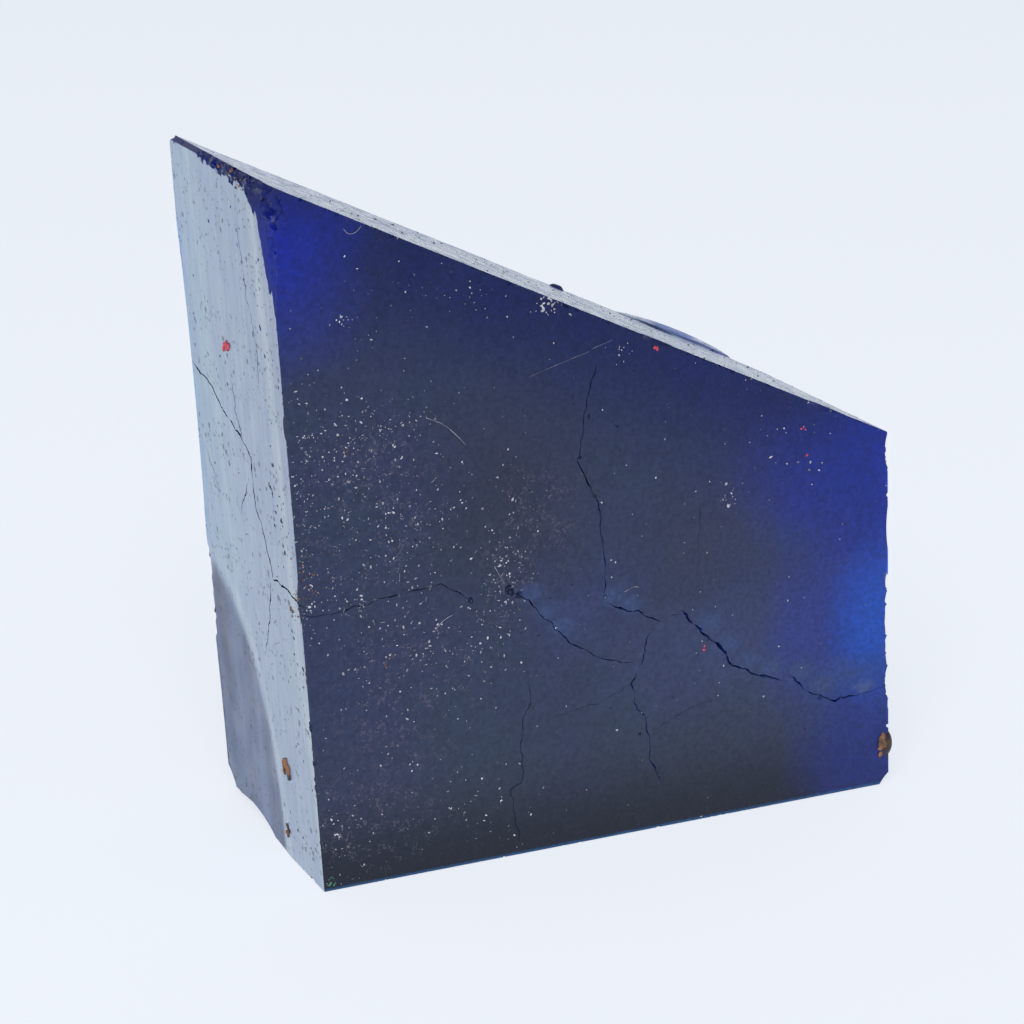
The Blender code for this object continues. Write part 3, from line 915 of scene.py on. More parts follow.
# %% Strew the grit
draw = random.Random(GRIT_SEED)
grit = bmesh.new()
for face, middle, spread, count, smallest, largest in GRIT_PATCHES:
    for _ in range(count):
        spot = on_face(face, draw.gauss(middle[0], spread[0]), draw.gauss(middle[1], spread[1]))
        size = drawn_size(draw, smallest, largest, 2.5)
        half_sizes = [size * draw.uniform(*part) for part in GRAIN_SHAPE]
        lay_grain(grit, spot, FACES[face][1], half_sizes, draw.uniform(0, math.tau))
for (along, high), (half_length, half_width) in CRUMBS:
    half_sizes = (half_length, half_width, 0.6 * half_width)
    lay_grain(grit, at(along, 0, high), FACES["front"][1], half_sizes, draw.uniform(0, math.tau))
for _ in range(OTHER_GRAINS):
    outward = FACES[draw.choice(OTHER_FACES)][1]
    spot = at(draw.uniform(-3.0, 50.0), draw.uniform(0.3, 20.8), draw.uniform(1.0, 54.0))
    size = draw.uniform(0.03, 0.09)
    half_sizes = (size * draw.uniform(1.0, 2.2), size, 0.7 * size)
    lay_grain(grit, spot + 2 * FAR_OUT * MM * outward, outward, half_sizes, draw.uniform(0, math.tau))
pale_grit = heaped(grit, "pale_grit")

# %% Rust, red and green crumbs: face, (along or deep, high), number, spread and half width
RUST_CRUMBS = (
    ("tall_end", (6.25, 7.86), 26, (0.60, 0.50), 0.24),
    ("tall_end", (7.4, 1.85), 14, (0.40, 0.50), 0.17),
    ("front", (-1.25, 25.8), 12, (0.30, 1.4), 0.08),
    ("front", (-0.4, 25.3), 8, (0.25, 1.1), 0.07),
    ("tall_end", (0.5, 24), 8, (0.3, 1.2), 0.10),
    ("tall_end", (2, 22.5), 4, (0.3, 0.3), 0.12),
    ("front", (50.4, 3.4), 14, (0.25, 0.7), 0.24),
    ("front", (2.5, 35.5), 6, (0.8, 0.5), 0.06),
    ("front", (5.6, 18), 4, (0.5, 0.5), 0.08),
    ("tall_end", (8, 55.2), 16, (2.4, 0.3), 0.12),
    ("tall_end", (5.6, 54.6), 8, (0.8, 0.3), 0.10),
)
RED_CRUMBS = (
    ("tall_end", (11.85, 40.85), 13, (0.60, 0.38), 0.19),
    ("front", (33.2, 14.8), 3, (0.08, 0.20), 0.10),
    ("front", (28.3, 40.2), 7, (0.25, 0.35), 0.11),
    ("front", (41.8, 32.1), 4, (0.20, 0.20), 0.09),
    ("front", (42.1, 29.8), 2, (0.10, 0.10), 0.08),
)
GREEN_CRUMBS = (
    ("front", (0.7, 0.5), 12, (0.5, 0.35), 0.10),
    ("front", (13.9, 22.6), 4, (0.3, 0.3), 0.07),
)
CRUMB_SPREAD = 0.6


def crumble(name, patches, seed):
    """Crumbs of one kind, close together in each patch."""
    luck = random.Random(seed)
    heap = bmesh.new()
    for face, (sideways, high), count, (wide, tall), size in patches:
        for _ in range(count):
            right = luck.gauss(sideways, CRUMB_SPREAD * wide)
            spot = on_face(face, right, luck.gauss(high, CRUMB_SPREAD * tall))
            half = size * luck.uniform(0.5, 1.1)
            half_sizes = (half * luck.uniform(1.0, 1.7), half, 0.5 * half)
            lay_grain(heap, spot, FACES[face][1], half_sizes, luck.uniform(0, math.tau))
    return heaped(heap, name)


rust_crumbs = crumble("rust_crumbs", RUST_CRUMBS, 3)
red_crumbs = crumble("red_crumbs", RED_CRUMBS, 4)
green_crumbs = crumble("green_crumbs", GREEN_CRUMBS, 6)
bpy.data.objects.remove(grain)

# %% Lint: longer threads listed one by one, short bits by chance
LINT_THREADS = (
    (((9, 37), (10.4, 36.3), (11.6, 35.2), (12.3, 34.4)), 0.024),
    (((9.6, 19.9), (10.3, 20.6), (11.2, 21)), 0.024),
    (((17.6, 39.2), (20.4, 40), (22.6, 40.6)), 0.009),
    (((22.9, 40.8), (24.6, 41.3)), 0.010),
    (((2.6, 52.1), (3, 51.7), (3.6, 51.8), (4, 52.2)), 0.016),
    (((14.6, 24.4), (15.2, 23.3), (15.6, 22.6)), 0.022),
    (((25.9, 20.6), (26.8, 20.9), (27.2, 20.8)), 0.022),
)
LINT_BITS = 90
LINT_PATCHES = GRIT_PATCHES[:8]
LINT_SEED = 5
LINT_SEAM = 0.001
LINT_THICKNESS = (0.010, 0.018)
print(len(LINT_THREADS), "threads and", LINT_BITS, "bits")


# %% Lay each thread on the skin
def add_thread(line, spots, thickness):
    """Adds a thread that bends smoothly over the front's skin to a curve."""
    run = line.splines.new("BEZIER")
    run.bezier_points.add(len(spots) - 1)
    for point, (along, high) in zip(run.bezier_points, spots):
        place, slope = skin_under(at(along, 0, high), FACES["front"][1])
        point.co = place + 0.6 * thickness * MM * slope
        point.radius = thickness
        point.handle_left_type = point.handle_right_type = "AUTO"


def random_bit(luck):
    """A short bent bit of thread near a patch of grit."""
    _, middle, spread, *_ = luck.choice(LINT_PATCHES)
    spots = [(luck.gauss(middle[0], spread[0]), luck.gauss(middle[1], spread[1]))]
    lean = luck.uniform(0, math.tau)
    bend = luck.uniform(-0.9, 0.9)
    length = luck.uniform(0.15, 0.45)
    for _ in range(2):
        along, high = spots[-1]
        spots.append((along + 0.5 * length * math.cos(lean), high + 0.5 * length * math.sin(lean)))
        lean += bend
    return spots


def on_the_front(along, high):
    """True well inside the front face, below its sloping crest."""
    return -0.5 < along < 46 and 1 < high < 28 + 0.25 * (46 - along)


line = bpy.data.curves.new("lint", "CURVE")
line.dimensions = "3D"
line.bevel_depth = MM
line.bevel_resolution = 1
line.resolution_u = 4
line.use_fill_caps = True
for spots, thickness in LINT_THREADS:
    add_thread(line, spots, thickness)
luck = random.Random(LINT_SEED)
for _ in range(LINT_BITS):
    spots = random_bit(luck)
    if all(on_the_front(*spot) for spot in spots):
        add_thread(line, spots, luck.uniform(*LINT_THICKNESS))
lint = bpy.data.objects.new("lint", line)
bpy.context.collection.objects.link(lint)
line_to_mesh(lint, LINT_SEAM)
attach(lint, "root")
print("lint:", len(lint.data.polygons), "faces")

# %% [markdown]
# ## Small tools for node trees
# A material here is a net of nodes, and most of them only add, multiply or fade. A few short
# helpers that place such a node and return its socket let each finish be read like a recipe.

# %% Helpers that add one node and return what comes out of it
def feed(tree, socket, value):
    """Links a socket, or sets it to a plain number or colour."""
    if isinstance(value, bpy.types.NodeSocket):
        tree.links.new(value, socket)
    else:
        socket.default_value = value


def node(tree, kind, inputs=None, **settings):
    """Adds a node with its settings, and feeds its inputs, which are given by name or number."""
    made = tree.nodes.new(kind)
    for name, value in settings.items():
        setattr(made, name, value)
    for label, value in (inputs or {}).items():
        feed(tree, made.inputs[label], value)
    return made


print("helpers for any node: feed and node")


# %% Sums, products and fades of masks
def math_node(tree, operation, *values, clamp=False):
    made = node(tree, "ShaderNodeMath", dict(enumerate(values)), operation=operation, use_clamp=clamp)
    return made.outputs[0]


def vector_math(tree, operation, *values):
    return node(tree, "ShaderNodeVectorMath", dict(enumerate(values)), operation=operation).outputs


def chained(tree, operation, values):
    total, *rest = values
    for value in rest:
        total = math_node(tree, operation, total, value)
    return total


def times(tree, *values):
    """The product of masks and numbers."""
    return chained(tree, "MULTIPLY", values)


def strongest(tree, *values):
    """The largest of several masks at each place."""
    return chained(tree, "MAXIMUM", values)


def fade(tree, value, low, high, bottom=0.0, top=1.0):
    """A smooth step from bottom to top while value goes from low to high."""
    inputs = {"Value": value, "From Min": low, "From Max": high, "To Min": bottom, "To Max": top}
    return node(tree, "ShaderNodeMapRange", inputs, interpolation_type="SMOOTHSTEP").outputs["Result"]


print("helpers for masks: times, strongest and fade")


# %% Colours, noise and coordinates
def blend(tree, factor, first, second, kind="MIX"):
    """Mixes two colours."""
    inputs = {"Factor": factor, "A": first, "B": second}
    made = node(tree, "ShaderNodeMix", inputs, data_type="RGBA", blend_type=kind)
    return next(socket for socket in made.outputs if socket.type == "RGBA")


def noise_node(tree, where, spots_per_metre, detail=2.0, roughness=0.5):
    inputs = {"Vector": where, "Scale": spots_per_metre, "Detail": detail, "Roughness": roughness}
    return node(tree, "ShaderNodeTexNoise", inputs).outputs


def clouds(tree, where, size, roughness=0.5):
    """Noise whose spots are about size millimetres across."""
    return noise_node(tree, where, 1 / (size * MM), roughness=roughness)["Fac"]


def stretched(tree, where, place=(0, 0, 0), turn=(0, 0, 0), scale=(1, 1, 1)):
    """Coordinates measured from a place, turned and then scaled."""
    inputs = {"Vector": where, "Location": place, "Rotation": turn, "Scale": scale}
    return node(tree, "ShaderNodeMapping", inputs, vector_type="TEXTURE").outputs["Vector"]


def colour(red, green, blue):
    return (red, green, blue, 1.0)


print("helpers for patterns: blend, clouds and stretched")

# %% [markdown]
# ## Effects that several finishes share
# Everything on this stone is uneven: cloudy crystal, dirty grit, rust. One node group mottles any
# colour, and another scatters small spots. Each is built once and placed in a material with values
# of its own, so all the finishes have the same hand.

# %% A group that mottles between two colours
def new_effect(name, inputs, outputs):
    """A shader node group with named sockets; gives its tree, what comes in and what goes out."""
    effect = bpy.data.node_groups.new(name, "ShaderNodeTree")
    for label, kind, value in inputs:
        socket = effect.interface.new_socket(label, in_out="INPUT", socket_type=kind)
        if value is not None:
            socket.default_value = value
    for label, kind in outputs:
        effect.interface.new_socket(label, in_out="OUTPUT", socket_type=kind)
    return effect, node(effect, "NodeGroupInput").outputs, node(effect, "NodeGroupOutput").inputs


def use_effect(tree, effect, **values):
    """Places a group in a tree, with a value or a link for each of its inputs."""
    inputs = {label.replace("_", " "): value for label, value in values.items()}
    return node(tree, "ShaderNodeGroup", inputs, node_tree=effect).outputs


MOTTLE_STEEPNESS = 2.5

mottle, given, result = new_effect(
    "mottle",
    (("Vector", "NodeSocketVector", None), ("Grains per metre", "NodeSocketFloat", 500.0),
     ("Contrast", "NodeSocketFloat", 1.0), ("Dark", "NodeSocketColor", colour(0.1, 0.1, 0.1)),
     ("Light", "NodeSocketColor", colour(0.8, 0.8, 0.8))),
    (("Color", "NodeSocketColor"), ("Mask", "NodeSocketFloat")))
patches = noise_node(mottle, given["Vector"], given["Grains per metre"])["Fac"]
centred = math_node(mottle, "SUBTRACT", patches, 0.5)
spread = times(mottle, centred, given["Contrast"], MOTTLE_STEEPNESS)
mask = math_node(mottle, "ADD", spread, 0.5, clamp=True)
feed(mottle, result["Color"], blend(mottle, mask, given["Dark"], given["Light"]))
feed(mottle, result["Mask"], mask)
print("mottle:", len(mottle.nodes), "nodes")

# %% A group that scatters round spots: only a share of the cells holds one, each of its own size
speckle, given, result = new_effect(
    "speckle",
    (("Vector", "NodeSocketVector", None), ("Spots per metre", "NodeSocketFloat", 1000.0),
     ("Share", "NodeSocketFloat", 0.3), ("Radius", "NodeSocketFloat", 0.3)),
    (("Mask", "NodeSocketFloat"),))
places = {"Vector": given["Vector"], "Scale": given["Spots per metre"]}
cells = node(speckle, "ShaderNodeTexVoronoi", places, feature="F1").outputs
luck_of_cell = node(speckle, "ShaderNodeSeparateColor", {"Color": cells["Color"]}).outputs
chosen = math_node(speckle, "LESS_THAN", luck_of_cell["Red"], given["Share"])
size = times(speckle, given["Radius"], luck_of_cell["Green"])
within = math_node(speckle, "LESS_THAN", cells["Distance"], size)
feed(speckle, result["Mask"], times(speckle, chosen, within))
print("shared effects:", ", ".join(effect.name for effect in bpy.data.node_groups))

# %% [markdown]
# ## The stone's finish
# Tanzanite lets blue light through and swallows red and green. This piece is cloudy all through, so
# light gets in and out only near its clear ends, which glow. The shader is see-through, so thin chips
# glow too: the volume inside absorbs red and green by the millimetre, and the base colour says how
# clear the skin is at each place. Near the ends, the lip and some cracks that base colour is also
# painted bright blue, so part of their glow is painted light. The end and the crest were ground
# smoother, so they carry a coat that mirrors the bright floor; their pale colour is partly frosting
# and partly painted sheen.

# %% Masks that say where on the stone a point is
def dot(tree, first, second):
    return vector_math(tree, "DOT_PRODUCT", first, second)["Value"]


def warped(tree, where, size, reach):
    """Coordinates that sway to and fro by up to reach mm, so that no zone has a round edge."""
    sway = noise_node(tree, where, 1 / (size * MM), detail=1.5)["Color"]
    shift = vector_math(tree, "MULTIPLY_ADD", sway, [2 * reach * MM] * 3, [-reach * MM] * 3)["Vector"]
    return vector_math(tree, "ADD", where, shift)["Vector"]


def zone(tree, where, place, radii):
    """A soft ball: 1 in its middle and 0 at its radii, all in millimetres."""
    inside = stretched(tree, where, at(*place), scale=[radius * MM for radius in radii])
    return node(tree, "ShaderNodeTexGradient", {"Vector": inside}, gradient_type="SPHERICAL").outputs["Fac"]


def facing_mask(tree, normal, name, start=0.90, end=0.985):
    """1 where the skin faces the way that a sawn face does."""
    return fade(tree, dot(tree, normal, FACES[name][1]), start, end)


def inside_by(tree, where, name):
    """How far below a sawn face's plane a point lies, in millimetres."""
    point, outward = FACES[name]
    return times(tree, math_node(tree, "SUBTRACT", point.dot(outward), dot(tree, where, outward)), 1 / MM)


print("a mask can be made for:", ", ".join(FACES))

# %% Clear and hazy zones and painted glow: middle (along, deep, high), radii and skin colour
SLATE = colour(0.052, 0.070, 0.150)
GREENISH = colour(0.046, 0.088, 0.100)
ZONES = (
    ((36, 0, 14), (15, 3.5, 6), colour(0.075, 0.105, 0.230)),
    ((22.5, 0, 20), (6, 3, 6), colour(0.065, 0.090, 0.220)),
    ((0.5, 0, 18), (6, 3, 9), colour(0.041, 0.064, 0.148)),
    ((15, 0, 30), (10, 3, 12), colour(0.045, 0.060, 0.085)),
    ((33, 0, 24), (7, 3, 6), colour(0.050, 0.066, 0.110)),
    # the next five zones, the fourth at the tip and the rest at the low end, are painted glow of light
    # through thin stone; as a tint they also let more blue light through
    ((50, 12, 17), (12, 40, 21), colour(0.002, 0.050, 0.720)),
    ((49, 6, 14.5), (5, 30, 10), colour(0.012, 0.160, 0.950)),
    ((49, 12, 28), (15, 40, 11), colour(0.002, 0.035, 0.520)),
    ((-3, 8, 51), (8.5, 30, 11.5), colour(0.001, 0.034, 0.680)),
    ((50, 12, 2.5), (10, 40, 8), colour(0.006, 0.035, 0.360)),
    # painted glow beside the long crack near the low end
    ((46.5, 0, 10.2), (5.5, 2.5, 2.6), colour(0.050, 0.120, 0.420)),
    ((-5, 8, 56), (10, 24, 4.2), colour(0.004, 0.012, 0.070)),
)
# painted glimmer where light scatters beside a crack: along and high
CRACK_GLOWS = (
    (17.7, 21.7), (19.2, 20.1), (20.5, 18.5), (24.8, 20.4), (26.4, 19.4), (33.8, 16.7),
    (35.4, 14.7), (37.3, 12.9), (39.4, 12.1), (42.3, 11.2), (44.4, 9.6))
CRACK_GLOW_RADII = (1.7, 1.2, 1.2)
CRACK_GLOW = colour(0.075, 0.135, 0.310)
# where fine powder lies: middle and radii
POWDERY = (
    ((5, 0, 30), (8, 3, 10)),
    ((16, 0, 24), (4, 3, 7)),
    ((7, 0, 15), (9, 3, 10)),
    ((18, 0, 27), (5.5, 3, 8)),
    ((4, 0, 5), (9, 3, 6)),
)
POWDERY_LEAST = 0.12
POWDER = colour(0.24, 0.215, 0.265)
# a frosted bruise near the low end: middle and radii
FROSTED_SPOT = ((48.4, 0.0, 8.8), (1.7, 2.0, 1.1))
FROST = colour(0.24, 0.30, 0.46)
NAVY = colour(0.002, 0.016, 0.140)
NIGHT = colour(0.004, 0.006, 0.012)
CYAN_RIM_LIGHT = colour(0.010, 0.160, 0.450)
print(len(ZONES), "zones,", len(CRACK_GLOWS), "glows,", len(POWDERY), "powdery patches")

# %% Blend the zones into one skin colour, from the large and deep to the fine and shallow
finish = bpy.data.materials.new("tanzanite_crystal")
finish.use_nodes = True
tree = finish.node_tree
shader = tree.nodes["Principled BSDF"]
spots = node(tree, "ShaderNodeTexCoord")
where = spots.outputs["Object"]
normal = spots.outputs["Normal"]
below = {name: inside_by(tree, where, name) for name in ("front", "tall_end", "crest", "foot")}

swaying = warped(tree, where, 9.0, 2.5)
patchy = use_effect(tree, mottle, Vector=where, Grains_per_metre=140.0, Contrast=1.3,
                    Dark=SLATE, Light=GREENISH)
body = blend(tree, 0.45, SLATE, patchy["Color"])
body = blend(tree, fade(tree, below["crest"], 12.0, 0.0, 0.0, 0.95), body, NAVY)
# darker towards the foot: painted shade, as the lower front mirrors the sheet where it lies in the stone's
# shadow, and less of the lit sheet's light gets through
body = blend(tree, fade(tree, below["foot"], 9.0, 0.4, 0.0, 0.9), body, NIGHT)
for place, radii, tone in ZONES:
    body = blend(tree, zone(tree, swaying, place, radii), body, tone)
glows = (zone(tree, where, (along, 0.0, high), CRACK_GLOW_RADII) for along, high in CRACK_GLOWS)
glowing = strongest(tree, *glows)
body = blend(tree, fade(tree, glowing, 0.0, 0.8, 0.0, 0.8), body, CRACK_GLOW)
# a painted rim of light from the lit sheet along the edges of the foot
body = blend(tree, fade(tree, below["foot"], 0.35, 0.12, 0.0, 0.8), body, CYAN_RIM_LIGHT)
grainy = use_effect(tree, mottle, Vector=where, Grains_per_metre=2600.0, Contrast=0.8,
                    Dark=colour(0.70, 0.70, 0.72), Light=colour(1.28, 1.28, 1.25))
body = blend(tree, 1.0, body, grainy["Color"], "MULTIPLY")
powdery = strongest(tree, POWDERY_LEAST, *(zone(tree, where, place, radii) for place, radii in POWDERY))
powder = times(
    tree,
    fade(tree, clouds(tree, where, 0.9), 0.46, 0.62),
    fade(tree, clouds(tree, where, 0.2), 0.52, 0.62),
    fade(tree, powdery, 0.0, 0.7, 0.0, 0.65))
body = blend(tree, powder, body, POWDER)
frosted = zone(tree, warped(tree, where, 0.7, 0.8), *FROSTED_SPOT)
body = blend(tree, fade(tree, frosted, 0.2, 0.8, 0.0, 0.4), body, FROST)
print("skin colour:", len(tree.nodes), "nodes")

# %% The ground end: bands left by the grinding, with painted sheen in their pale haze
# how much the bands lean and sway, where they start and how far they reach, in millimetres
BAND_SHEAR = 0.078
BAND_SWAY = 1.6
BAND_START = -6.0
BAND_WIDTH = 28.0
# along the band scale: how strong the mirror is, and what tints the haze below it, which is partly frosted
# skin and partly painted sheen
MIRROR_BANDS = (
    (0.14, 0.88), (0.175, 0.90), (0.19, 1), (0.212, 1), (0.235, 0.88), (0.45, 0.92),
    (0.64, 0.92), (0.672, 1), (0.70, 0.93), (0.75, 0.86), (0.95, 0.86))
HAZE_AND_SHEEN_BANDS = (
    (0.16, (0.34, 0.52, 0.85)), (0.19, (0.62, 0.84, 1)), (0.208, (0.62, 0.84, 1)),
    (0.24, (0.36, 0.60, 0.92)), (0.60, (0.34, 0.62, 0.95)), (0.67, (0.40, 0.76, 1)),
    (0.71, (0.36, 0.74, 1)), (0.95, (0.20, 0.56, 1)))


def banded(tree, value, stops):
    """A colour that changes along a value, from stop to stop."""
    made = node(tree, "ShaderNodeValToRGB", {"Fac": value})
    ramp = made.color_ramp
    while len(ramp.elements) < len(stops):
        ramp.elements.new(0.5)
    for stop, (place, tone) in zip(ramp.elements, stops):
        stop.position = place
        stop.color = (*tone, 1.0) if isinstance(tone, tuple) else (tone, tone, tone, 1.0)
    return made.outputs["Color"]


tall_end = facing_mask(tree, normal, "tall_end")
crest = facing_mask(tree, normal, "crest")
foot = facing_mask(tree, normal, "foot", 0.5, 0.9)
up_the_saw = stretched(tree, where, turn=(0, math.atan(TALL_END_LEAN / HEIGHT), 0), scale=(1.0, 1.0, 14.0))
sheared = math_node(tree, "MULTIPLY_ADD", below["foot"], -BAND_SHEAR, below["front"])
swayed = math_node(tree, "MULTIPLY_ADD", clouds(tree, up_the_saw, 2.5), BAND_SWAY, sheared)
across = times(tree, math_node(tree, "SUBTRACT", swayed, BAND_START + BAND_SWAY / 2), 1 / BAND_WIDTH)
haze_and_sheen = banded(tree, across, HAZE_AND_SHEEN_BANDS)
fine_streaks = use_effect(tree, mottle, Vector=up_the_saw, Grains_per_metre=1300.0, Contrast=1.4,
                          Dark=colour(0.66, 0.76, 0.90), Light=colour(1.0, 1.0, 1.0))
haze_and_sheen = blend(tree, 1.0, haze_and_sheen, fine_streaks["Color"], "MULTIPLY")
print("ground end:", len(MIRROR_BANDS), "mirror bands,", len(HAZE_AND_SHEEN_BANDS), "haze bands")

# %% A ragged band below the tip's edge that the wheel did not reach, widest at the front corner
TEETH = 1.8

band_depth = fade(tree, below["front"], 15.6, 13.4, 0.25, 0.70)
corner = fade(tree, below["front"], 5.5, 2.8, 0.0, 1.7)
near_corner = fade(tree, below["front"], 2.7, 0.7, 0.0, 5.0)
band_depth = math_node(tree, "ADD", band_depth, math_node(tree, "ADD", corner, near_corner))
teeth = clouds(tree, stretched(tree, where, scale=(1.0, 1.0, 2.5)), 0.45)
teeth = math_node(tree, "MULTIPLY_ADD", teeth, TEETH, -TEETH / 2)
raggedly = math_node(tree, "SUBTRACT", math_node(tree, "ADD", below["crest"], teeth), band_depth)
ground = fade(tree, raggedly, -0.12, 0.12)
ground_end = times(tree, tall_end, ground)
torn_band = times(tree, tall_end, math_node(tree, "SUBTRACT", 1.0, ground))
print("ragged band:", len(tree.nodes), "nodes so far")

# %% Plucked spots, and a scar where the end is hollow
# the scar fades in between these depths below the sawn plane, in millimetres
SCAR_DEPTH = (0.08, 0.20)
SCAR_SHADE = colour(0.03, 0.08, 0.26)
SCAR_HAZE = colour(0.08, 0.21, 0.58)

unround = warped(tree, where, 0.5, 0.16)
dark_spots = use_effect(tree, speckle, Vector=unround, Spots_per_metre=1700.0, Share=0.20, Radius=0.42)
fine_spots = use_effect(tree, speckle, Vector=unround, Spots_per_metre=3200.0, Share=0.30, Radius=0.44)
spotted = strongest(tree, dark_spots["Mask"], fine_spots["Mask"])
unspotted = fade(tree, spotted, 0.0, 1.0, 1.0, 0.30)
scar = fade(tree, below["tall_end"], *SCAR_DEPTH)
smears = use_effect(tree, mottle, Vector=up_the_saw, Grains_per_metre=260.0, Contrast=1.2)
unscarred = fade(tree, scar, 0.0, 1.0, 1.0, fade(tree, smears["Mask"], 0.0, 1.0, 0.11, 0.34))
scar_haze = blend(tree, smears["Mask"], SCAR_SHADE, SCAR_HAZE)
# the ground end gets the pale haze with its painted sheen, the hollow scar a darker colour of its own
body = blend(tree, ground_end, body, blend(tree, scar, haze_and_sheen, scar_haze))
print("end and scar:", len(tree.nodes), "nodes so far")

# %% The worn crest with painted sheen, its clear lip with painted glow, dark spots and a rust stain
CREST_HAZE_AND_SHEEN = colour(0.48, 0.76, 1.0)
CREST_DULL = colour(0.24, 0.42, 0.90)
LIP_TINT_AND_GLOW = colour(0.30, 0.52, 1.0)
LIP_RIM_TINT_AND_GLOW = colour(0.10, 0.26, 1.0)
RUST = colour(0.050, 0.028, 0.018)
RUST_LIGHT = colour(0.15, 0.075, 0.035)
# middle and radii of the crest's lip and of a rust stain at the toe
LIP = ((40.9, 20.6, 35.6), (8.0, 2.6, 1.5))
RUST_STAIN = ((51.1, 0.3, 3.3), (1.1, 1.3, 1.6))

crest_slope = math.acos(FACES["crest"][1].z)
down_the_crest = stretched(tree, where, turn=(0, crest_slope, 0), scale=(12.0, 1.0, 1.0))
crest_streaks_and_sheen = use_effect(tree, mottle, Vector=down_the_crest, Grains_per_metre=800.0, Contrast=1.5,
                           Dark=CREST_DULL, Light=CREST_HAZE_AND_SHEEN)
# the crest's pale streaks are partly its frosted skin and partly painted sheen of the bright tent
body = blend(tree, times(tree, crest, 0.9), body, crest_streaks_and_sheen["Color"])
lip = fade(tree, zone(tree, warped(tree, where, 1.5, 0.3), *LIP), 0.05, 0.45)
lip_rim = times(tree, lip, fade(tree, below["crest"], -0.10, -0.30))
# the thin lip and its rim are painted bright blue: partly the tint of light that passes through, partly
# painted glow
body = blend(tree, lip, body, LIP_TINT_AND_GLOW)
body = blend(tree, lip_rim, body, LIP_RIM_TINT_AND_GLOW)
spot_strength = math_node(tree, "MULTIPLY_ADD", strongest(tree, tall_end, crest), 0.60, 0.10)
body = blend(tree, times(tree, spotted, spot_strength), body, NIGHT)
body = blend(tree, foot, body, NIGHT)
rusty = zone(tree, warped(tree, where, 1.0, 0.25), *RUST_STAIN)
rust_tone = use_effect(tree, mottle, Vector=where, Grains_per_metre=2000.0, Contrast=1.5,
                       Dark=RUST, Light=RUST_LIGHT)
body = blend(tree, fade(tree, rusty, 0.1, 0.4), body, rust_tone["Color"])
feed(tree, shader.inputs["Base Color"], body)
print("base colour:", len(tree.nodes), "nodes so far")

# %% A coat on the ground faces and on the ribs of the break
mirror = banded(tree, across, MIRROR_BANDS)
worn_crest = use_effect(tree, mottle, Vector=where, Grains_per_metre=900.0, Contrast=2.2)
crest_coat = times(
    tree,
    crest,
    fade(tree, worn_crest["Mask"], 0.0, 1.0, 0.24, 0.92),
    unspotted,
    fade(tree, lip, 0.0, 1.0, 1.0, 0.40),
    fade(tree, lip_rim, 0.0, 1.0, 1.0, 0.60))
end_coat = times(tree, ground_end, unscarred, unspotted, mirror)
broken = facing_mask(tree, normal, "back", 0.55, 0.85)
from_the_blow = stretched(tree, swaying, place=at(*BLOWS[0][0]))
wave = {"Vector": from_the_blow, "Scale": 110.0, "Distortion": 3.0, "Detail": 1.0}
rings = node(tree, "ShaderNodeTexWave", wave, wave_type="RINGS", rings_direction="SPHERICAL")
ribs = times(tree, rings.outputs["Fac"], fade(tree, clouds(tree, where, 7.0), 0.35, 0.65))
broken_coat = times(tree, broken, fade(tree, ribs, 0.0, 1.0, 0.10, 0.28))
feed(tree, shader.inputs["Coat Weight"], strongest(tree, end_coat, crest_coat, broken_coat))
print("coat:", len(tree.nodes), "nodes so far")

# %% Roughness, fine grain, and the clear crystal inside
gloss = use_effect(tree, mottle, Vector=where, Grains_per_metre=300.0, Contrast=1.0)
uneven = fade(tree, gloss["Mask"], 0.0, 1.0, 0.30, 0.42)
feed(tree, shader.inputs["Roughness"], math_node(tree, "MULTIPLY_ADD", torn_band, 0.5, uneven))
grain_height = clouds(tree, where, 0.22, roughness=0.65)
bump = node(tree, "ShaderNodeBump", {"Strength": 0.55, "Distance": 0.02 * MM, "Height": grain_height})
feed(tree, shader.inputs["Normal"], bump.outputs["Normal"])
shader.inputs["Coat Roughness"].default_value = 0.22
shader.inputs["Coat IOR"].default_value = 2.2
shader.inputs["IOR"].default_value = 1.69
shader.inputs["Specular Tint"].default_value = colour(0.42, 0.46, 0.56)
shader.inputs["Transmission Weight"].default_value = 0.60
swallowed = {"Color": colour(0.0, 0.286, 0.914), "Density": 350.0}
absorb = node(tree, "ShaderNodeVolumeAbsorption", swallowed)
feed(tree, tree.nodes["Material Output"].inputs["Volume"], absorb.outputs["Volume"])
stone.data.materials.clear()
stone.data.materials.append(finish)
print("stone finish:", len(tree.nodes), "nodes")


# %% Grit, rust, red, green and lint
CRUMB_GRAINS = 900.0


def crumbly(name, dark, light, roughness):
    """A dull finish that changes from grain to grain."""
    made = bpy.data.materials.new(name)
    made.use_nodes = True
    tree = made.node_tree
    shader = tree.nodes["Principled BSDF"]
    where = node(tree, "ShaderNodeTexCoord").outputs["Object"]
    tone = use_effect(tree, mottle, Vector=where, Grains_per_metre=CRUMB_GRAINS, Contrast=1.6,
                      Dark=dark, Light=light)
    feed(tree, shader.inputs["Base Color"], tone["Color"])
    feed(tree, shader.inputs["Roughness"], fade(tree, tone["Mask"], 0.0, 1.0, roughness, 0.9))
    return made


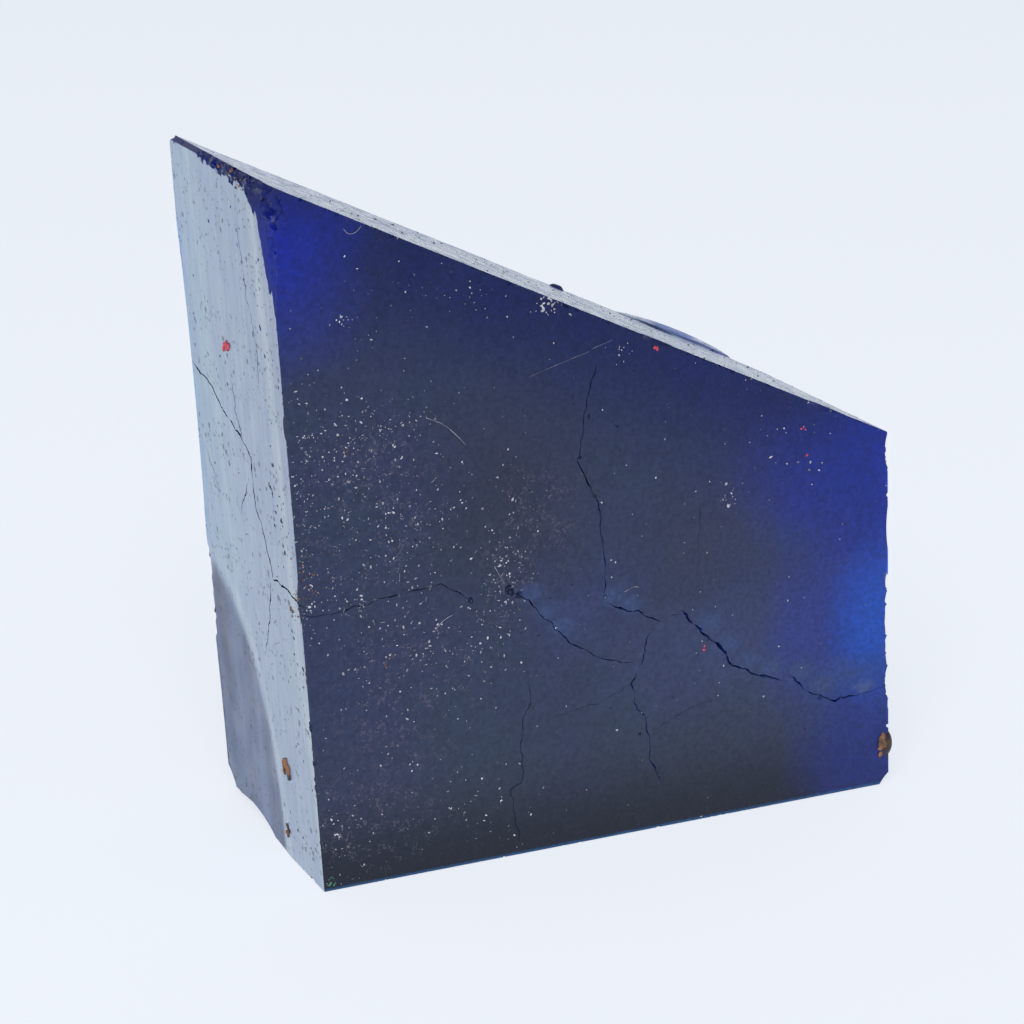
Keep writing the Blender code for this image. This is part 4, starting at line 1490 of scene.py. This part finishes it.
CRUMBLY_FINISHES = (
    (pale_grit, "dried_saw_mud", colour(0.07, 0.07, 0.10), colour(0.56, 0.56, 0.62), 0.6),
    (rust_crumbs, "rust", colour(0.040, 0.026, 0.02), colour(0.30, 0.14, 0.07), 0.6),
    (red_crumbs, "red_rubber", colour(0.45, 0.03, 0.06), colour(0.80, 0.12, 0.16), 0.5),
    (green_crumbs, "green_polish", colour(0.02, 0.06, 0.06), colour(0.07, 0.20, 0.13), 0.6),
    (lint, "cotton_lint", colour(0.12, 0.12, 0.16), colour(0.45, 0.45, 0.50), 0.7),
)
for piece, name, dark, light, roughness in CRUMBLY_FINISHES:
    piece.data.materials.clear()
    piece.data.materials.append(crumbly(name, dark, light, roughness))
    print(piece.name, "is", name)

# %% [markdown]
# ## Floor, light and camera
# The stone stands on a lit opal sheet in a light tent: the sheet glows a little, so it throws
# almost no shadow, and it is darker towards the camera, which shades it. The tent is bright near
# the level of the stone and darker overhead.

# %% Floor
FLOOR_RADIUS = 1.6
FLOOR_PLACE = (0, 0, -0.05 * MM)
# in metres: where the camera's own shade on the sheet is deepest, and where it ends
SHADE_OF_CAMERA = (-0.20, -0.045)
bpy.ops.object.select_all(action="DESELECT")
bpy.ops.mesh.primitive_circle_add(vertices=96, radius=FLOOR_RADIUS, fill_type="NGON", location=FLOOR_PLACE)
floor = bpy.context.active_object
floor.name = "floor"
settle(floor)
paper = bpy.data.materials.new("opal_sheet")
paper.use_nodes = True
tree = paper.node_tree
sheet = tree.nodes["Principled BSDF"]
sheet.inputs["Base Color"].default_value = colour(0.30, 0.31, 0.33)
sheet.inputs["Roughness"].default_value = 0.9
sheet.inputs["Specular IOR Level"].default_value = 0.0
where = node(tree, "ShaderNodeTexCoord").outputs["Object"]
ahead = node(tree, "ShaderNodeSeparateXYZ", {"Vector": where})
shaded = fade(tree, ahead.outputs["Y"], *SHADE_OF_CAMERA, 0.35, 1.0)
glow = blend(tree, shaded, colour(0.0, 0.0, 0.0), colour(0.83, 0.87, 0.93))
feed(tree, sheet.inputs["Emission Color"], glow)
sheet.inputs["Emission Strength"].default_value = 0.79
floor.data.materials.append(paper)
print("floor:", 2 * FLOOR_RADIUS, "m across")

# %% Tent: bright walls, a dimmer ceiling
WALL = colour(0.86, 0.90, 0.96)
CEILING = colour(0.30, 0.32, 0.35)
world = bpy.data.worlds.new("light_tent")
world.use_nodes = True
tree = world.node_tree
towards = node(tree, "ShaderNodeTexCoord").outputs["Generated"]
look = node(tree, "ShaderNodeSeparateXYZ", {"Vector": towards})
height = fade(tree, look.outputs["Z"], 0.10, 0.45)
feed(tree, tree.nodes["Background"].inputs["Color"], blend(tree, height, WALL, CEILING))
bpy.context.scene.world = world
bpy.context.scene.view_settings.view_transform = "Standard"


def soft_light(name, place, size, power, tint):
    lamp = bpy.data.lights.new(name, "AREA")
    lamp.shape = "DISK"
    lamp.size = size
    lamp.energy = power
    lamp.color = tint
    made = bpy.data.objects.new(name, lamp)
    made.location = place
    made.rotation_euler = (-Vector(place)).to_track_quat("-Z", "Y").to_euler()
    bpy.context.collection.objects.link(made)


soft_light("front_softbox", (-0.45, -0.75, 0.75), 0.7, 7.0, (1.0, 0.98, 0.96))

# %% Camera: a long lens, a hand's breadth above the sheet, looking down on the stone
LENS_MM = 107.156
SENSOR_MM = 36
CAMERA_PLACE = (-0.10175, -0.2133, 0.10169)
LOOKING_DOWN = 18.1
LOOKING_ASIDE = -24.95
lens = bpy.data.cameras.new("camera")
lens.lens = LENS_MM
lens.sensor_width = SENSOR_MM
camera = bpy.data.objects.new("camera", lens)
camera.location = CAMERA_PLACE
camera.rotation_euler = (math.radians(90 - LOOKING_DOWN), 0, math.radians(LOOKING_ASIDE))
bpy.context.collection.objects.link(camera)
bpy.context.scene.camera = camera
print("camera:", LENS_MM, "mm lens,", LOOKING_DOWN, "degrees down")
